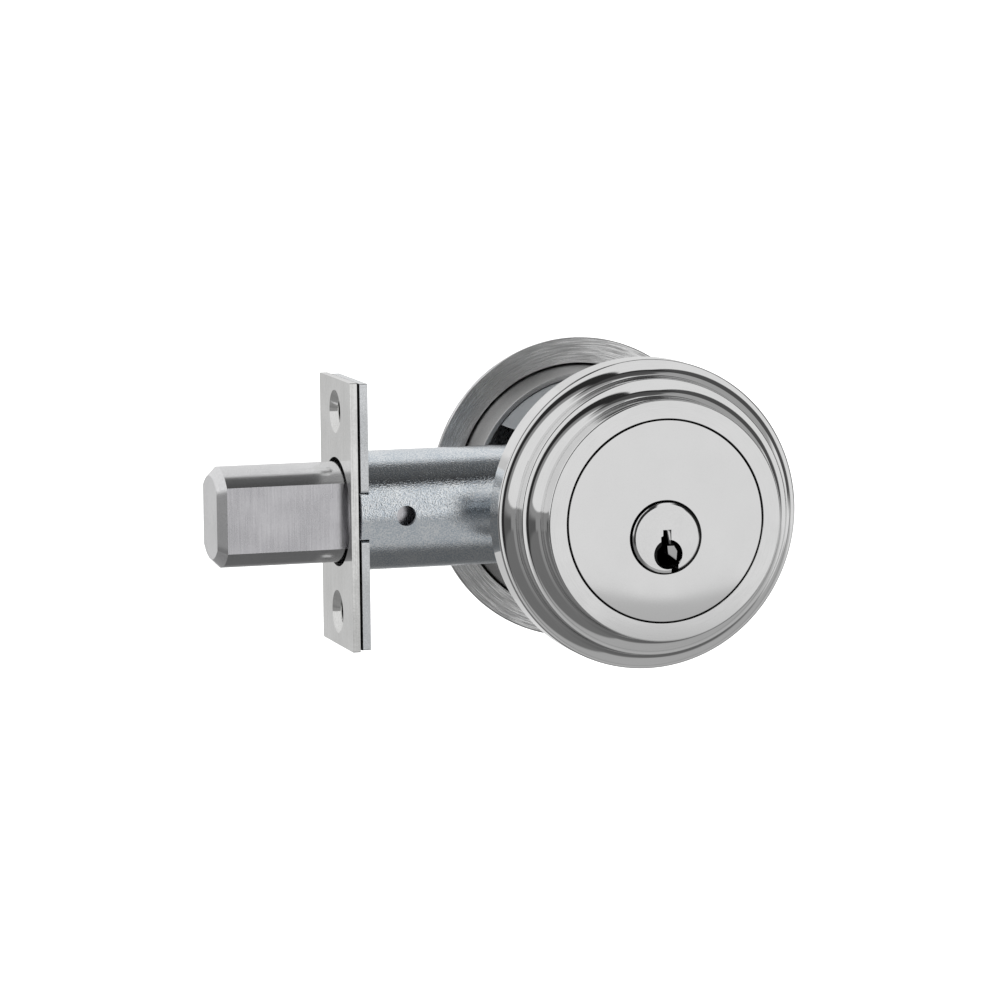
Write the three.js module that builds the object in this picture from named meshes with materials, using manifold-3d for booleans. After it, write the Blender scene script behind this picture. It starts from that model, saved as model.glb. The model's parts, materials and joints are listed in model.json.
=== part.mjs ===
// Single-cylinder deadbolt door lock: key cylinder in a stepped collar on the outside face, latch-type
// tubular bolt in the door edge, thumb turn on a round rose on the inside face.
// Millimetres. The bolt axis is X (the bolt points to -X), the door bore is Y (outside face at -Y), +Z is up.
// The origin is where the bolt axis meets the door-bore axis, in the middle of the door's thickness.
import * as THREE from "three";
import { mergeVertices } from "three/addons/utils/BufferGeometryUtils.js";
import Module from "manifold-3d";

const wasm = await Module();
wasm.setup();

// ---- Driving dimensions -------------------------------------------------------------------------

const GAP = 0.3; // clearance between pieces that touch
const DOOR = { half: 22.225, seat: 22.3 }; // half the door's thickness, and where the trims sit
const AXIS_DROP = -3.4; // height of the plug, hub and thumb-turn axis below the bolt axis

const COLLAR = {
  front: -40.77,
  back: -DOOR.seat,
  discBore: 21.5, // hole that the cylinder's disc shows through
  cavity: 24.0,
  lip: 4.17,
  steps: [
    { radius: 25.44, depth: 7.12 }, // each step: wall radius, and how far back its ledge is
    { radius: 29.24, depth: 12.34 },
  ],
  rim: 32.84,
  cove: 2.4, // radius of the hollow fillet at the foot of each wall
  grooveRadius: 25.1,
  groove: [-31.7, -30.3],
};

const CYLINDER = {
  disc: 21.17,
  discBack: -36.9,
  flange: 23.5,
  flangeY: [-36.3, -34.4],
  barrel: 10.2,
  towerHalf: 4.4,
  towerTop: 15.0,
  back: -13.9,
  faceBore: 7.8,
  faceBoreDepth: 3.5,
  bore: 6.75,
};

const PLUG = {
  face: 7.25,
  front: -41.7,
  shoulder: -37.6,
  barrel: 6.4,
  back: -13.7,
  recess: 3.2,
  recessDrop: -3.5,
  recessDepth: 1.6,
};

const PINS = {
  count: 6,
  firstY: -31.6,
  pitch: 3.2,
  radius: 1.2,
  chamber: 1.42,
  shear: 3.1, // height where the plug meets the shell
  cuts: [4.1, 5.6, 4.9, 6.3, 5.2, 4.4], // length of each key pin
  driver: 4.0,
  springTurns: 4,
  wire: 0.22,
};

const SUPPORT = { y: [-34.1, -31.8], radius: 23.6 };
const SNAP_RING = { inner: 22.8, outer: 24.8, y: [-31.5, -30.5] };
const POST = { z: 19.6, radius: 2.9, hole: 2.25, y: [-31.5, -15.2] };
const SCREW = { radius: 1.9, head: 3.6, headHeight: 2.2, tip: -26 };

const FACEPLATE = {
  front: -60.35,
  thickness: 1.62,
  halfWidth: 12.7,
  halfHeight: 28.575,
  hole: 11.65,
  screwZ: 21.43,
  screwHole: 2.4,
  countersink: 4.6,
};
const BACKING = {
  front: -58.28,
  thickness: 2.0,
  halfWidth: 12.0,
  halfHeight: 28.3,
  hole: 11.1,
  holeFlat: 8.5,
  notchHalf: 5.1,
  notchFloor: 10.4,
};
const SLEEVE = {
  outer: 12.7,
  inner: 11.7,
  tongueFront: -58.0,
  tongueHalf: 4.75,
  end: -20,
  sightHole: { x: -48.3, radius: 2.15 },
  rivetX: -26,
};

const BOLT = {
  tip: -87.87,
  back: -42,
  radius: 10.75,
  flat: 8.17,
  chamfer: 1.85,
  rollerBore: 3.3,
  rollerEnd: -81,
  slot: [2.35, 4.85],
  slotFront: -50.6,
  slotFloor: -4.5,
};
const ROLLER = { radius: 3.0, x: [-80.4, -51.2] };

const HUB = {
  radius: 6.4,
  half: 8.7,
  journal: 4.9,
  journalEnd: 10.8,
  crank: 18.9, // from the hub axis to the crank pin
  armHalf: 2.0,
  crankPin: 1.6,
  crankPinHalf: 5.2,
};
const TRAVEL = HUB.crank * Math.SQRT2; // bolt travel for a quarter turn of the crank
const LINK = { y: [2.6, 4.6], bottom: 4.6, top: 9.4, forkTop: 16.5, slotHalf: 2.6, slotFloor: 7.0 };
const LINK_PIN = { x: -46.1, z: 7.0, radius: 1.3, half: 7.8 };

const SIDE = {
  y: [9.0, 10.4],
  tongue: { x: -34, half: 4 },
  x: [-19.5, 23.4],
  half: 12.5,
  hubHole: 5.25,
};
const FRAME_RIVETS = [
  { x: -12, z: -9.6 },
  { x: 17, z: -9.6 },
  { x: 21.2, z: 7.6 },
];
const FRAME_RIVET = { radius: 1.5, hole: 1.8, half: 11.0 };

const TAIL = { wide: 6.0, thick: 1.8, slotWide: 6.7, slotThick: 2.5, y: [-10.7, 26.8] };
const CAM = { y: [-13.4, -12.6], radius: 7.4, lugTop: -11.9 };
const DRIVER = { y: [-11.6, -11.0], radius: 7.0, lugTop: -12.4 };
const LUG = { inner: 3.4, outer: 6.9, halfAngle: 18 * (Math.PI / 180) };
const LUG_OFFSET = 135 * (Math.PI / 180); // from the driver's lug to the plug cam's lug

const ROSE = {
  radius: 33.0,
  rimY: 24.4,
  domeY: 31.0,
  crownY: 32.3,
  cavity: 27.4,
  roofY: 29.9,
  hole: 5.4,
};
const RING = { tip: 26.3, base: 26.95, inner: 25.3, y: [13.3, 21.7, 27.4] };
const PLATE = { radius: 24.9, y: [13.8, 15.6], hole: 6.0 };
const SET_SCREW = { radius: 1.2, hole: 1.5, y: 24.2, z: [-32.7, -27.4], socket: 0.6, socketDepth: 1.4 };
const SPINDLE = { radius: 5.0, y: [17.6, 36.8] };
const CLIP = { outer: 7.4, y: [28.3, 29.4] };
const WASHER = { inner: 5.4, outer: 9.6, y: [32.7, 33.4] };
const TURN = { base: 10.4, baseY: [33.8, 37.5], wingHalf: 18.0, wingThick: 4.1, wingY: 52.5 };

// ---- Finishes -----------------------------------------------------------------------------------

/** One metal or plastic finish. */
function finish(color, roughness, metalness) {
  return new THREE.MeshStandardMaterial({ color, roughness, metalness });
}

const FINISH = {
  polished: finish(0xd2d2d2, 0.12, 1.0),
  satin: finish(0xc6c6c6, 0.28, 1.0),
  ground: finish(0xbdbbc0, 0.36, 1.0),
  zinc: finish(0xc3cbd2, 0.4, 1.0),
  cast: finish(0x9b9b9b, 0.5, 1.0),
  steel: finish(0x8f9296, 0.4, 1.0),
  brass: finish(0xb99a57, 0.35, 1.0),
  spring: finish(0x7c7f84, 0.35, 1.0),
};

// ---- Shape helpers ------------------------------------------------------------------------------

/** A closed three.js geometry as a solid that can be joined to others and cut by them. */
function toSolid(geometry) {
  const bare = geometry.clone();
  bare.deleteAttribute("normal");
  bare.deleteAttribute("uv");
  const merged = mergeVertices(bare, 1e-4);
  const triVerts = new Uint32Array(merged.index.array);
  const vertProperties = merged.attributes.position.array;
  const made = new wasm.Manifold(new wasm.Mesh({ numProp: 3, vertProperties, triVerts }));
  if (made.volume() > 0) return made;
  for (let i = 0; i < triVerts.length; i += 3) {
    [triVerts[i + 1], triVerts[i + 2]] = [triVerts[i + 2], triVerts[i + 1]];
  }
  return new wasm.Manifold(new wasm.Mesh({ numProp: 3, vertProperties, triVerts }));
}

/** A solid as a three.js geometry with flat normals. */
function toGeometry(solid) {
  const mesh = solid.getMesh();
  const indexed = new THREE.BufferGeometry();
  indexed.setAttribute("position", new THREE.BufferAttribute(mesh.vertProperties, 3));
  indexed.setIndex(new THREE.BufferAttribute(mesh.triVerts, 1));
  const flat = indexed.toNonIndexed();
  flat.computeVertexNormals();
  return flat;
}

/** Facets round a circle of this radius. */
function facets(radius) {
  if (radius > 20) return 60;
  if (radius > 8) return 40;
  return radius > 3 ? 24 : 12;
}

/** A profile of [radius, y] pairs turned about the Y direction, its axis at height z. */
function turned(profile, z = 0, segments = facets(COLLAR.rim)) {
  const points = profile.map(([radius, y]) => new THREE.Vector2(radius, y));
  return toSolid(new THREE.LatheGeometry(points, segments).translate(0, 0, z));
}

/** A round bar along Y from y0 to y1. */
function barY(radius, y0, y1, x = 0, z = 0) {
  const bar = new THREE.CylinderGeometry(radius, radius, y1 - y0, facets(radius));
  return toSolid(bar.translate(x, (y0 + y1) / 2, z));
}

/** A round bar along X from x0 to x1. */
function barX(radius, x0, x1, y = 0, z = 0) {
  const bar = new THREE.CylinderGeometry(radius, radius, x1 - x0, facets(radius));
  return toSolid(bar.rotateZ(Math.PI / 2).translate((x0 + x1) / 2, y, z));
}

/** A round bar along Z from z0 to z1. */
function barZ(radius, z0, z1, x = 0, y = 0) {
  const bar = new THREE.CylinderGeometry(radius, radius, z1 - z0, facets(radius));
  return toSolid(bar.rotateX(Math.PI / 2).translate(x, y, (z0 + z1) / 2));
}

/** A rectangular block between two corners. */
function block(low, high) {
  const size = high.map((value, i) => value - low[i]);
  const box = new THREE.BoxGeometry(...size);
  return toSolid(box.translate(...low.map((value, i) => value + size[i] / 2)));
}

/** A washer about the Y direction. */
function ringY(inner, outer, y0, y1, z = 0) {
  return turned([[inner, y0], [outer, y0], [outer, y1], [inner, y1], [inner, y0]], z, facets(outer));
}

/** An outline of [x, z] points as a plate between y0 and y1. */
function plateY(points, y0, y1) {
  const shape = new THREE.Shape(points.map(([x, z]) => new THREE.Vector2(x, z)));
  const slab = new THREE.ExtrudeGeometry(shape, { depth: y1 - y0, bevelEnabled: false });
  return toSolid(slab.rotateX(Math.PI / 2).translate(0, y1, 0));
}

/** A solid moved along X, Y and Z, in its own copy. */
function shifted(solid, x, y, z) {
  return solid.translate([x, y, z]);
}

/** Points of a quarter-round hollow fillet from a wall of radius r down to a ledge at y. */
function cove(wallRadius, ledgeY, radius, steps = 5) {
  return Array.from({ length: steps + 1 }, (_, i) => {
    const angle = (i / steps) * (Math.PI / 2);
    return [
      wallRadius + radius * (1 - Math.cos(angle)),
      ledgeY - radius * (1 - Math.sin(angle)),
    ];
  });
}

/** A helix about Z, used as the path of a spring's wire. */
class Helix extends THREE.Curve {
  constructor(radius, height, turns) {
    super();
    Object.assign(this, { radius, height, turns });
  }
  getPoint(t) {
    const angle = 2 * Math.PI * this.turns * t;
    return new THREE.Vector3(
      this.radius * Math.cos(angle),
      this.radius * Math.sin(angle),
      this.height * t,
    );
  }
}

/** A coil spring standing on z = 0. */
function coilSpring(radius, height, turns, wire) {
  const section = new THREE.Shape().absarc(0, 0, wire, 0, 2 * Math.PI);
  const settings = {
    steps: turns * 8,
    curveSegments: 3,
    extrudePath: new Helix(radius, height, turns),
    bevelEnabled: false,
  };
  return toSolid(new THREE.ExtrudeGeometry(section, settings));
}

/** A ring sector lug about the plug axis, centred on an angle measured from +X towards +Z. */
function lug(angle, y0, y1) {
  const steps = 4;
  const arc = (radius, sign) =>
    Array.from({ length: steps + 1 }, (_, i) => {
      const a = angle + sign * LUG.halfAngle * ((2 * i) / steps - 1);
      return [radius * Math.cos(a), radius * Math.sin(a)];
    });
  const outline = [...arc(LUG.outer, 1), ...arc(LUG.inner, -1)];
  return shifted(plateY(outline, y0, y1), 0, 0, AXIS_DROP);
}

// ---- Outside trim -------------------------------------------------------------------------------

/** The stepped collar: two walls with hollow fillets and flat ledges, open at the back. */
function exteriorCollar() {
  const [first, second] = COLLAR.steps;
  const firstLedge = COLLAR.front + first.depth;
  const secondLedge = COLLAR.front + second.depth;
  const lipBack = COLLAR.front + COLLAR.lip;
  return turned([
    [COLLAR.discBore, COLLAR.front],
    [first.radius - 0.3, COLLAR.front],
    [first.radius, COLLAR.front + 0.3],
    ...cove(first.radius, firstLedge, COLLAR.cove),
    [second.radius - 0.25, firstLedge],
    [second.radius, firstLedge + 0.25],
    ...cove(second.radius, secondLedge, COLLAR.cove),
    [COLLAR.rim - 0.25, secondLedge],
    [COLLAR.rim, secondLedge + 0.25],
    [COLLAR.rim, COLLAR.back],
    [COLLAR.cavity, COLLAR.back],
    [COLLAR.cavity, COLLAR.groove[1]],
    [COLLAR.grooveRadius, COLLAR.groove[1]],
    [COLLAR.grooveRadius, COLLAR.groove[0]],
    [COLLAR.cavity, COLLAR.groove[0]],
    [COLLAR.cavity, lipBack],
    [COLLAR.discBore, lipBack],
    [COLLAR.discBore, COLLAR.front],
  ]);
}

/** Height range of the pin tower, used wherever a plate has to pass round it. */
function towerBlock(half, top, y0, y1) {
  return block([-half, y0, AXIS_DROP], [half, y1, top]);
}

/** The cylinder: face disc, flange, barrel and pin tower, bored for the plug and the pins. */
function cylinderBody() {
  const axis = AXIS_DROP;
  const [flangeFront, flangeBack] = CYLINDER.flangeY;
  let body = turned([
    [0, COLLAR.front],
    [CYLINDER.disc - 0.2, COLLAR.front],
    [CYLINDER.disc, COLLAR.front + 0.2],
    [CYLINDER.disc, flangeFront],
    [CYLINDER.flange, flangeFront],
    [CYLINDER.flange, flangeBack],
    [0, flangeBack],
  ]);
  body = body.add(barY(CYLINDER.barrel, CYLINDER.flangeY[0], CYLINDER.back, 0, axis));
  body = body.add(
    towerBlock(CYLINDER.towerHalf, CYLINDER.towerTop, flangeFront, CYLINDER.back),
  );
  const faceBoreEnd = COLLAR.front + CYLINDER.faceBoreDepth;
  body = body.subtract(barY(CYLINDER.faceBore, COLLAR.front - 1, faceBoreEnd, 0, axis));
  body = body.subtract(barY(CYLINDER.bore, COLLAR.front - 1, CYLINDER.back + 1, 0, axis));
  for (let i = 0; i < PINS.count; i++) {
    body = body.subtract(barZ(PINS.chamber, AXIS_DROP, CYLINDER.towerTop + 1, 0, pinY(i)));
  }
  const groove = new THREE.BoxGeometry(1.6, CYLINDER.back - flangeBack - 3, 1.6);
  groove.rotateY(Math.PI / 4);
  groove.translate(CYLINDER.bore + 0.1, (CYLINDER.back + flangeBack) / 2, AXIS_DROP);
  return body.subtract(toSolid(groove));
}

/** Where pin stack i stands along the plug. */
function pinY(i) {
  return PINS.firstY + i * PINS.pitch;
}

/** The plug: bevelled face, key recess, warded keyway, pin chambers and the sidebar's slot. */
function cylinderPlug() {
  let plug = turned([
    [0, PLUG.front],
    [PLUG.face - 0.7, PLUG.front],
    [PLUG.face, PLUG.front + 0.7],
    [PLUG.face, PLUG.shoulder],
    [PLUG.barrel, PLUG.shoulder],
    [PLUG.barrel, PLUG.back],
    [0, PLUG.back],
  ], AXIS_DROP, 48);
  const recessEnd = PLUG.front + PLUG.recessDepth;
  plug = plug.subtract(
    barY(PLUG.recess, PLUG.front - 1, recessEnd, 0.25, AXIS_DROP + PLUG.recessDrop),
  );
  const keyway = [
    [-0.93, 1.5], [-0.93, -0.6], [-1.38, -0.8], [-1.38, -2.2], [-0.3, -2.9], [-0.3, -3.5],
    [-1.2, -4.1], [-1.2, -5.0], [0.8, -5.6], [0.8, -8.5], [1.95, -8.5], [1.95, -4.9],
    [0.5, -4.4], [0.5, -3.9], [1.5, -3.2], [1.5, -2.0], [0.74, -1.4], [0.74, 1.5],
  ];
  const slot = plateY(keyway, PLUG.front - 1, PLUG.back + 1);
  plug = plug.subtract(shifted(slot, 0, 0, AXIS_DROP));
  for (let i = 0; i < PINS.count; i++) {
    plug = plug.subtract(barZ(PINS.chamber, AXIS_DROP - 1.9, AXIS_DROP + 9, 0, pinY(i)));
  }
  const bar = block(
    [3.1, PINS.firstY - 1, AXIS_DROP - 0.85],
    [9, pinY(PINS.count - 1) + 1, AXIS_DROP + 0.85],
  );
  return plug.subtract(bar);
}

/** The sidebar, drawn in so that the plug is free to turn. */
function sidebar() {
  const y = [PINS.firstY - 0.7, pinY(PINS.count - 1) + 0.7];
  const outline = [[4.6, -0.55], [5.7, -0.55], [6.3, -0.15], [6.3, 0.15], [5.7, 0.55], [4.6, 0.55]];
  return shifted(plateY(outline, y[0], y[1]), 0, 0, AXIS_DROP);
}

/** A key pin of one length, round-nosed at the key, its top at the shear line. */
function keyPin(length) {
  const top = PINS.shear - 0.25;
  const nose = 0.5;
  const points = [
    [0, top - length],
    [PINS.radius - nose, top - length],
    [PINS.radius, top - length + nose],
    [PINS.radius, top],
    [0, top],
  ].map(([radius, z]) => new THREE.Vector2(radius, z));
  return toSolid(new THREE.LatheGeometry(points, 12).rotateX(Math.PI / 2));
}

/** The plate behind the cylinder's flange, with holes for the barrel and its tower. */
function supportPlate() {
  const [front, back] = SUPPORT.y;
  let plate = barY(SUPPORT.radius, front, back);
  plate = plate.subtract(barY(CYLINDER.barrel + 0.5, front - 1, back + 1, 0, AXIS_DROP));
  return plate.subtract(
    towerBlock(CYLINDER.towerHalf + 0.5, CYLINDER.towerTop + 1.3, front - 1, back + 1),
  );
}

/** A threaded post, shown with a plain hole. */
function mountingPost() {
  const post = barY(POST.radius, POST.y[0], POST.y[1]);
  return post.subtract(barY(POST.hole, POST.y[0] + 3, POST.y[1] + 1));
}

// ---- Bolt in the door edge ----------------------------------------------------------------------

/** A rectangular plate across the X direction, pierced for two countersunk screws. */
function edgePlate(plate, hole) {
  const back = plate.front + plate.thickness;
  const { halfWidth: w, halfHeight: h } = plate;
  let slab = block([plate.front, -w, -h], [back, w, h]).subtract(hole);
  for (const z of [-FACEPLATE.screwZ, FACEPLATE.screwZ]) {
    slab = slab.subtract(barX(FACEPLATE.screwHole, plate.front - 1, back + 1, 0, z));
  }
  return slab;
}

/** The faceplate, flush with the door edge. */
function faceplate() {
  const back = FACEPLATE.front + FACEPLATE.thickness;
  let plate = edgePlate(FACEPLATE, barX(FACEPLATE.hole, FACEPLATE.front - 1, back + 1));
  for (const z of [-FACEPLATE.screwZ, FACEPLATE.screwZ]) {
    const depth = FACEPLATE.countersink - FACEPLATE.screwHole + 1;
    const cone = new THREE.CylinderGeometry(
      FACEPLATE.countersink + 1, FACEPLATE.screwHole, depth, 24,
    );
    cone.rotateZ(Math.PI / 2).translate(FACEPLATE.front - 1 + depth / 2, 0, z);
    plate = plate.subtract(toSolid(cone));
  }
  return plate;
}

/** The plate behind the faceplate: its flatted hole guides the bolt and its notches hold the sleeve. */
function backingPlate() {
  const back = BACKING.front + BACKING.thickness;
  const flats = block(
    [BACKING.front - 1, -BACKING.holeFlat, -15],
    [back + 1, BACKING.holeFlat, 15],
  );
  let plate = edgePlate(
    BACKING,
    barX(BACKING.hole, BACKING.front - 1, back + 1).intersect(flats),
  );
  for (const side of [-1, 1]) {
    const ends = [side * BACKING.notchFloor, side * 14].sort((a, b) => a - b);
    plate = plate.subtract(
      block([BACKING.front - 1, ends[0], -BACKING.notchHalf], [back + 1, ends[1], BACKING.notchHalf]),
    );
  }
  return plate;
}

/** The tube round the bolt, with two tongues that pass through the backing plate. */
function boltSleeve() {
  const seat = BACKING.front + BACKING.thickness + 0.05;
  let tube = barX(SLEEVE.outer, SLEEVE.tongueFront, SLEEVE.end);
  tube = tube.subtract(barX(SLEEVE.inner, SLEEVE.tongueFront - 1, SLEEVE.end + 1));
  for (const side of [-1, 1]) {
    const ends = [side * SLEEVE.tongueHalf, side * 14].sort((a, b) => a - b);
    tube = tube.subtract(
      block([SLEEVE.tongueFront - 1, -14, ends[0]], [seat, 14, ends[1]]),
    );
  }
  const hole = SLEEVE.sightHole;
  tube = tube.subtract(barY(hole.radius, -14, -10, hole.x, 0));
  return tube.subtract(barY(FRAME_RIVET.hole, -14, 14, SLEEVE.rivetX, 0));
}

/** The bolt: a round bar with two flats, chamfered at the tip and slotted for the links. */
function boltBar() {
  const straight = BOLT.tip + BOLT.chamfer;
  let bar = barX(BOLT.radius, straight, BOLT.back);
  const nose = new THREE.CylinderGeometry(
    BOLT.radius, BOLT.radius - BOLT.chamfer, BOLT.chamfer, facets(BOLT.radius),
  );
  nose.rotateZ(-Math.PI / 2).translate(BOLT.tip + BOLT.chamfer / 2, 0, 0);
  const noseSolid = toSolid(nose);
  const outline = [
    [BOLT.tip, -BOLT.flat + BOLT.chamfer],
    [straight, -BOLT.flat],
    [BOLT.back + 1, -BOLT.flat],
    [BOLT.back + 1, BOLT.flat],
    [straight, BOLT.flat],
    [BOLT.tip, BOLT.flat - BOLT.chamfer],
  ];
  const shape = new THREE.Shape(outline.map(([x, y]) => new THREE.Vector2(x, y)));
  const flats = new THREE.ExtrudeGeometry(shape, { depth: 30, bevelEnabled: false });
  bar = bar.add(noseSolid).intersect(toSolid(flats.translate(0, 0, -15)));
  bar = bar.subtract(barX(BOLT.rollerBore, BOLT.rollerEnd, BOLT.back + 1));
  for (const side of [-1, 1]) {
    const y = BOLT.slot.map((value) => side * value).sort((a, b) => a - b);
    bar = bar.subtract(
      block([BOLT.slotFront, y[0], BOLT.slotFloor], [BOLT.back + 1, y[1], BOLT.radius + 1]),
    );
  }
  return bar.subtract(barY(LINK_PIN.radius + 0.3, -12, 12, LINK_PIN.x, LINK_PIN.z));
}

/** A link plate from the bolt to the crank, ending in a fork that is open at the top. */
function linkPlate(side) {
  const crankX = -HUB.crank * Math.SQRT1_2;
  const [x0, x1] = [crankX - 5.4, crankX + 5.2];
  const outline = [
    [-50.2, -4.0], [-46.6, -4.0], [-46.6, LINK.bottom], [x1, LINK.bottom],
    [x1, LINK.forkTop], [crankX + LINK.slotHalf, LINK.forkTop],
    [crankX + LINK.slotHalf, LINK.slotFloor], [crankX - LINK.slotHalf, LINK.slotFloor],
    [crankX - LINK.slotHalf, LINK.forkTop], [x0, LINK.forkTop], [x0, LINK.top],
    [-50.2, LINK.top],
  ];
  const y = LINK.y.map((value) => side * value).sort((a, b) => a - b);
  const plate = plateY(outline, y[0], y[1]);
  return plate.subtract(barY(LINK_PIN.radius + 0.3, -12, 12, LINK_PIN.x, LINK_PIN.z));
}

/** The hub that the tailpiece turns, with its crank arm and crank pin, bolt thrown. */
function hubCam() {
  let hub = barY(HUB.radius, -HUB.half, HUB.half);
  hub = hub.add(barY(HUB.journal, -HUB.journalEnd, HUB.journalEnd));
  hub = hub.add(block([-2.4, -HUB.armHalf, 0], [2.4, HUB.armHalf, HUB.crank]));
  hub = hub.add(barY(2.4, -HUB.armHalf, HUB.armHalf, 0, HUB.crank));
  hub = hub.add(barY(HUB.crankPin, -HUB.crankPinHalf, HUB.crankPinHalf, 0, HUB.crank));
  hub = hub.rotate([0, -45, 0]);
  const slot = block(
    [-TAIL.slotWide / 2, -20, -TAIL.slotThick / 2],
    [TAIL.slotWide / 2, 20, TAIL.slotThick / 2],
  );
  return shifted(hub.subtract(slot), 0, 0, AXIS_DROP);
}

/** A side plate of the bolt's frame: a tongue in the sleeve and a broad part round the hub. */
function sidePlate(side) {
  const [x0, x1] = SIDE.x;
  const corner = 4;
  const outline = [
    [SIDE.tongue.x, -SIDE.tongue.half], [x0, -SIDE.tongue.half], [x0, -SIDE.half],
    [x1 - corner, -SIDE.half], [x1, -SIDE.half + corner], [x1, SIDE.half - corner],
    [x1 - corner, SIDE.half], [x0, SIDE.half], [x0, SIDE.tongue.half],
    [SIDE.tongue.x, SIDE.tongue.half],
  ];
  const y = SIDE.y.map((value) => side * value).sort((a, b) => a - b);
  let plate = plateY(outline, y[0], y[1]);
  plate = plate.subtract(barY(SIDE.hubHole, -12, 12, 0, AXIS_DROP));
  for (const { x, z } of FRAME_RIVETS) {
    plate = plate.subtract(barY(FRAME_RIVET.hole, -12, 12, x, z));
  }
  return plate.subtract(barY(FRAME_RIVET.hole, -12, 12, SLEEVE.rivetX, 0));
}

/** The leaf spring that steadies the hub, bowed up between two frame rivets. */
function detentSpring() {
  const outline = [
    [-9.8, -11.2], [-4, -10.9], [2, -10.8], [9, -10.9], [14.8, -11.2],
    [14.8, -10.8], [9, -10.5], [2, -10.4], [-4, -10.5], [-9.8, -10.8],
  ];
  return plateY(outline, -3, 3);
}

// ---- Plug cam, tailpiece and inside trim --------------------------------------------------------

/** The cap on the back of the plug, with the lug that pushes the tailpiece's driver. */
function plugCam() {
  const disc = ringY(2.2, CAM.radius, CAM.y[0], CAM.y[1], AXIS_DROP);
  return disc.add(lug(LUG_OFFSET, CAM.y[0] + 0.2, CAM.lugTop));
}

/** The disc and lug on the front of the tailpiece. */
function tailpieceDriver() {
  const disc = barY(DRIVER.radius, DRIVER.y[0], DRIVER.y[1], 0, AXIS_DROP);
  return disc.add(lug(0, DRIVER.lugTop, DRIVER.y[1] - 0.2));
}

/** The flat blade that joins the key cylinder, the hub and the thumb turn. */
function tailpiece() {
  const [w, t] = [TAIL.wide / 2, TAIL.thick / 2];
  return block([-w, TAIL.y[0], AXIS_DROP - t], [w, TAIL.y[1], AXIS_DROP + t]);
}

/** The domed rose, hollow on the door side, with a hole for the spindle. */
function interiorRose() {
  const seat = DOOR.seat;
  const rose = turned([
    [0, ROSE.crownY],
    [12, ROSE.crownY],
    [20, ROSE.crownY - 0.5],
    [25.5, ROSE.domeY - 1.6],
    [29.6, 27.4],
    [32.2, 25.6],
    [ROSE.radius, ROSE.rimY],
    [ROSE.radius, seat + 0.4],
    [ROSE.radius - 0.4, seat],
    [ROSE.cavity, seat],
    [ROSE.cavity, 26.2],
    [25.0, 28.2],
    [20.5, ROSE.roofY - 0.3],
    [0, ROSE.roofY],
  ]);
  const drilled = rose.subtract(barY(ROSE.hole, 25, 40, 0, AXIS_DROP));
  return drilled.subtract(barZ(SET_SCREW.hole, -ROSE.radius - 1, -ROSE.cavity + 1, 0, SET_SCREW.y));
}

/** The slightly tapered ring that centres the inside trim in the door's bore. */
function locatingRing() {
  const [tip, base, end] = RING.y;
  return turned([
    [RING.inner, tip],
    [RING.tip - 0.3, tip],
    [RING.tip, tip + 0.3],
    [RING.base, base],
    [RING.base, end - 2],
    [RING.base - 1.1, end - 0.4],
    [RING.inner, end - 0.4],
    [RING.inner, tip],
  ]);
}

/** The plate that the two long screws pull against, cut away beside the bolt's sleeve. */
function mountingPlate() {
  const [front, back] = PLATE.y;
  let plate = barY(PLATE.radius, front, back);
  plate = plate.subtract(barY(PLATE.hole, front - 1, back + 1, 0, AXIS_DROP));
  for (const z of [-POST.z, POST.z]) {
    plate = plate.subtract(barY(SCREW.radius + 0.4, front - 1, back + 1, 0, z));
  }
  const window = [
    [-30, -14.5], [-14.5, -12.6], [-14.5, 13.4], [-30, 19.5],
  ];
  return plate.subtract(plateY(window, front - 1, back + 1));
}

/** A long machine screw with a slotted pan head on the room side. */
function mountingScrew() {
  const seat = PLATE.y[1] + GAP;
  const top = seat + SCREW.headHeight;
  let screw = barY(SCREW.radius, SCREW.tip, seat + 0.5);
  screw = screw.add(turned([
    [0, seat],
    [SCREW.head, seat],
    [SCREW.head, top - 0.7],
    [SCREW.head - 0.8, top],
    [0, top],
  ], 0, 20));
  return screw.subtract(block([-0.5, top - 1, -5], [0.5, top + 1, 5]));
}

/** The grub screw that locks the rose to the ring, at the bottom of the rose. */
function roseSetScrew() {
  const { radius, y, z, socket, socketDepth } = SET_SCREW;
  const screw = barZ(radius, z[0], z[1], 0, y);
  return screw.subtract(barZ(socket, z[0] - 1, z[0] + socketDepth, 0, y));
}

/** The spindle of the thumb turn, slotted for the tailpiece. */
function turnSpindle() {
  const slot = block(
    [-TAIL.slotWide / 2, SPINDLE.y[0] - 1, -TAIL.slotThick / 2],
    [TAIL.slotWide / 2, TAIL.y[1] + 1, TAIL.slotThick / 2],
  );
  const spindle = barY(SPINDLE.radius, SPINDLE.y[0], SPINDLE.y[1]).subtract(slot);
  return shifted(spindle, 0, 0, AXIS_DROP);
}

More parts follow.
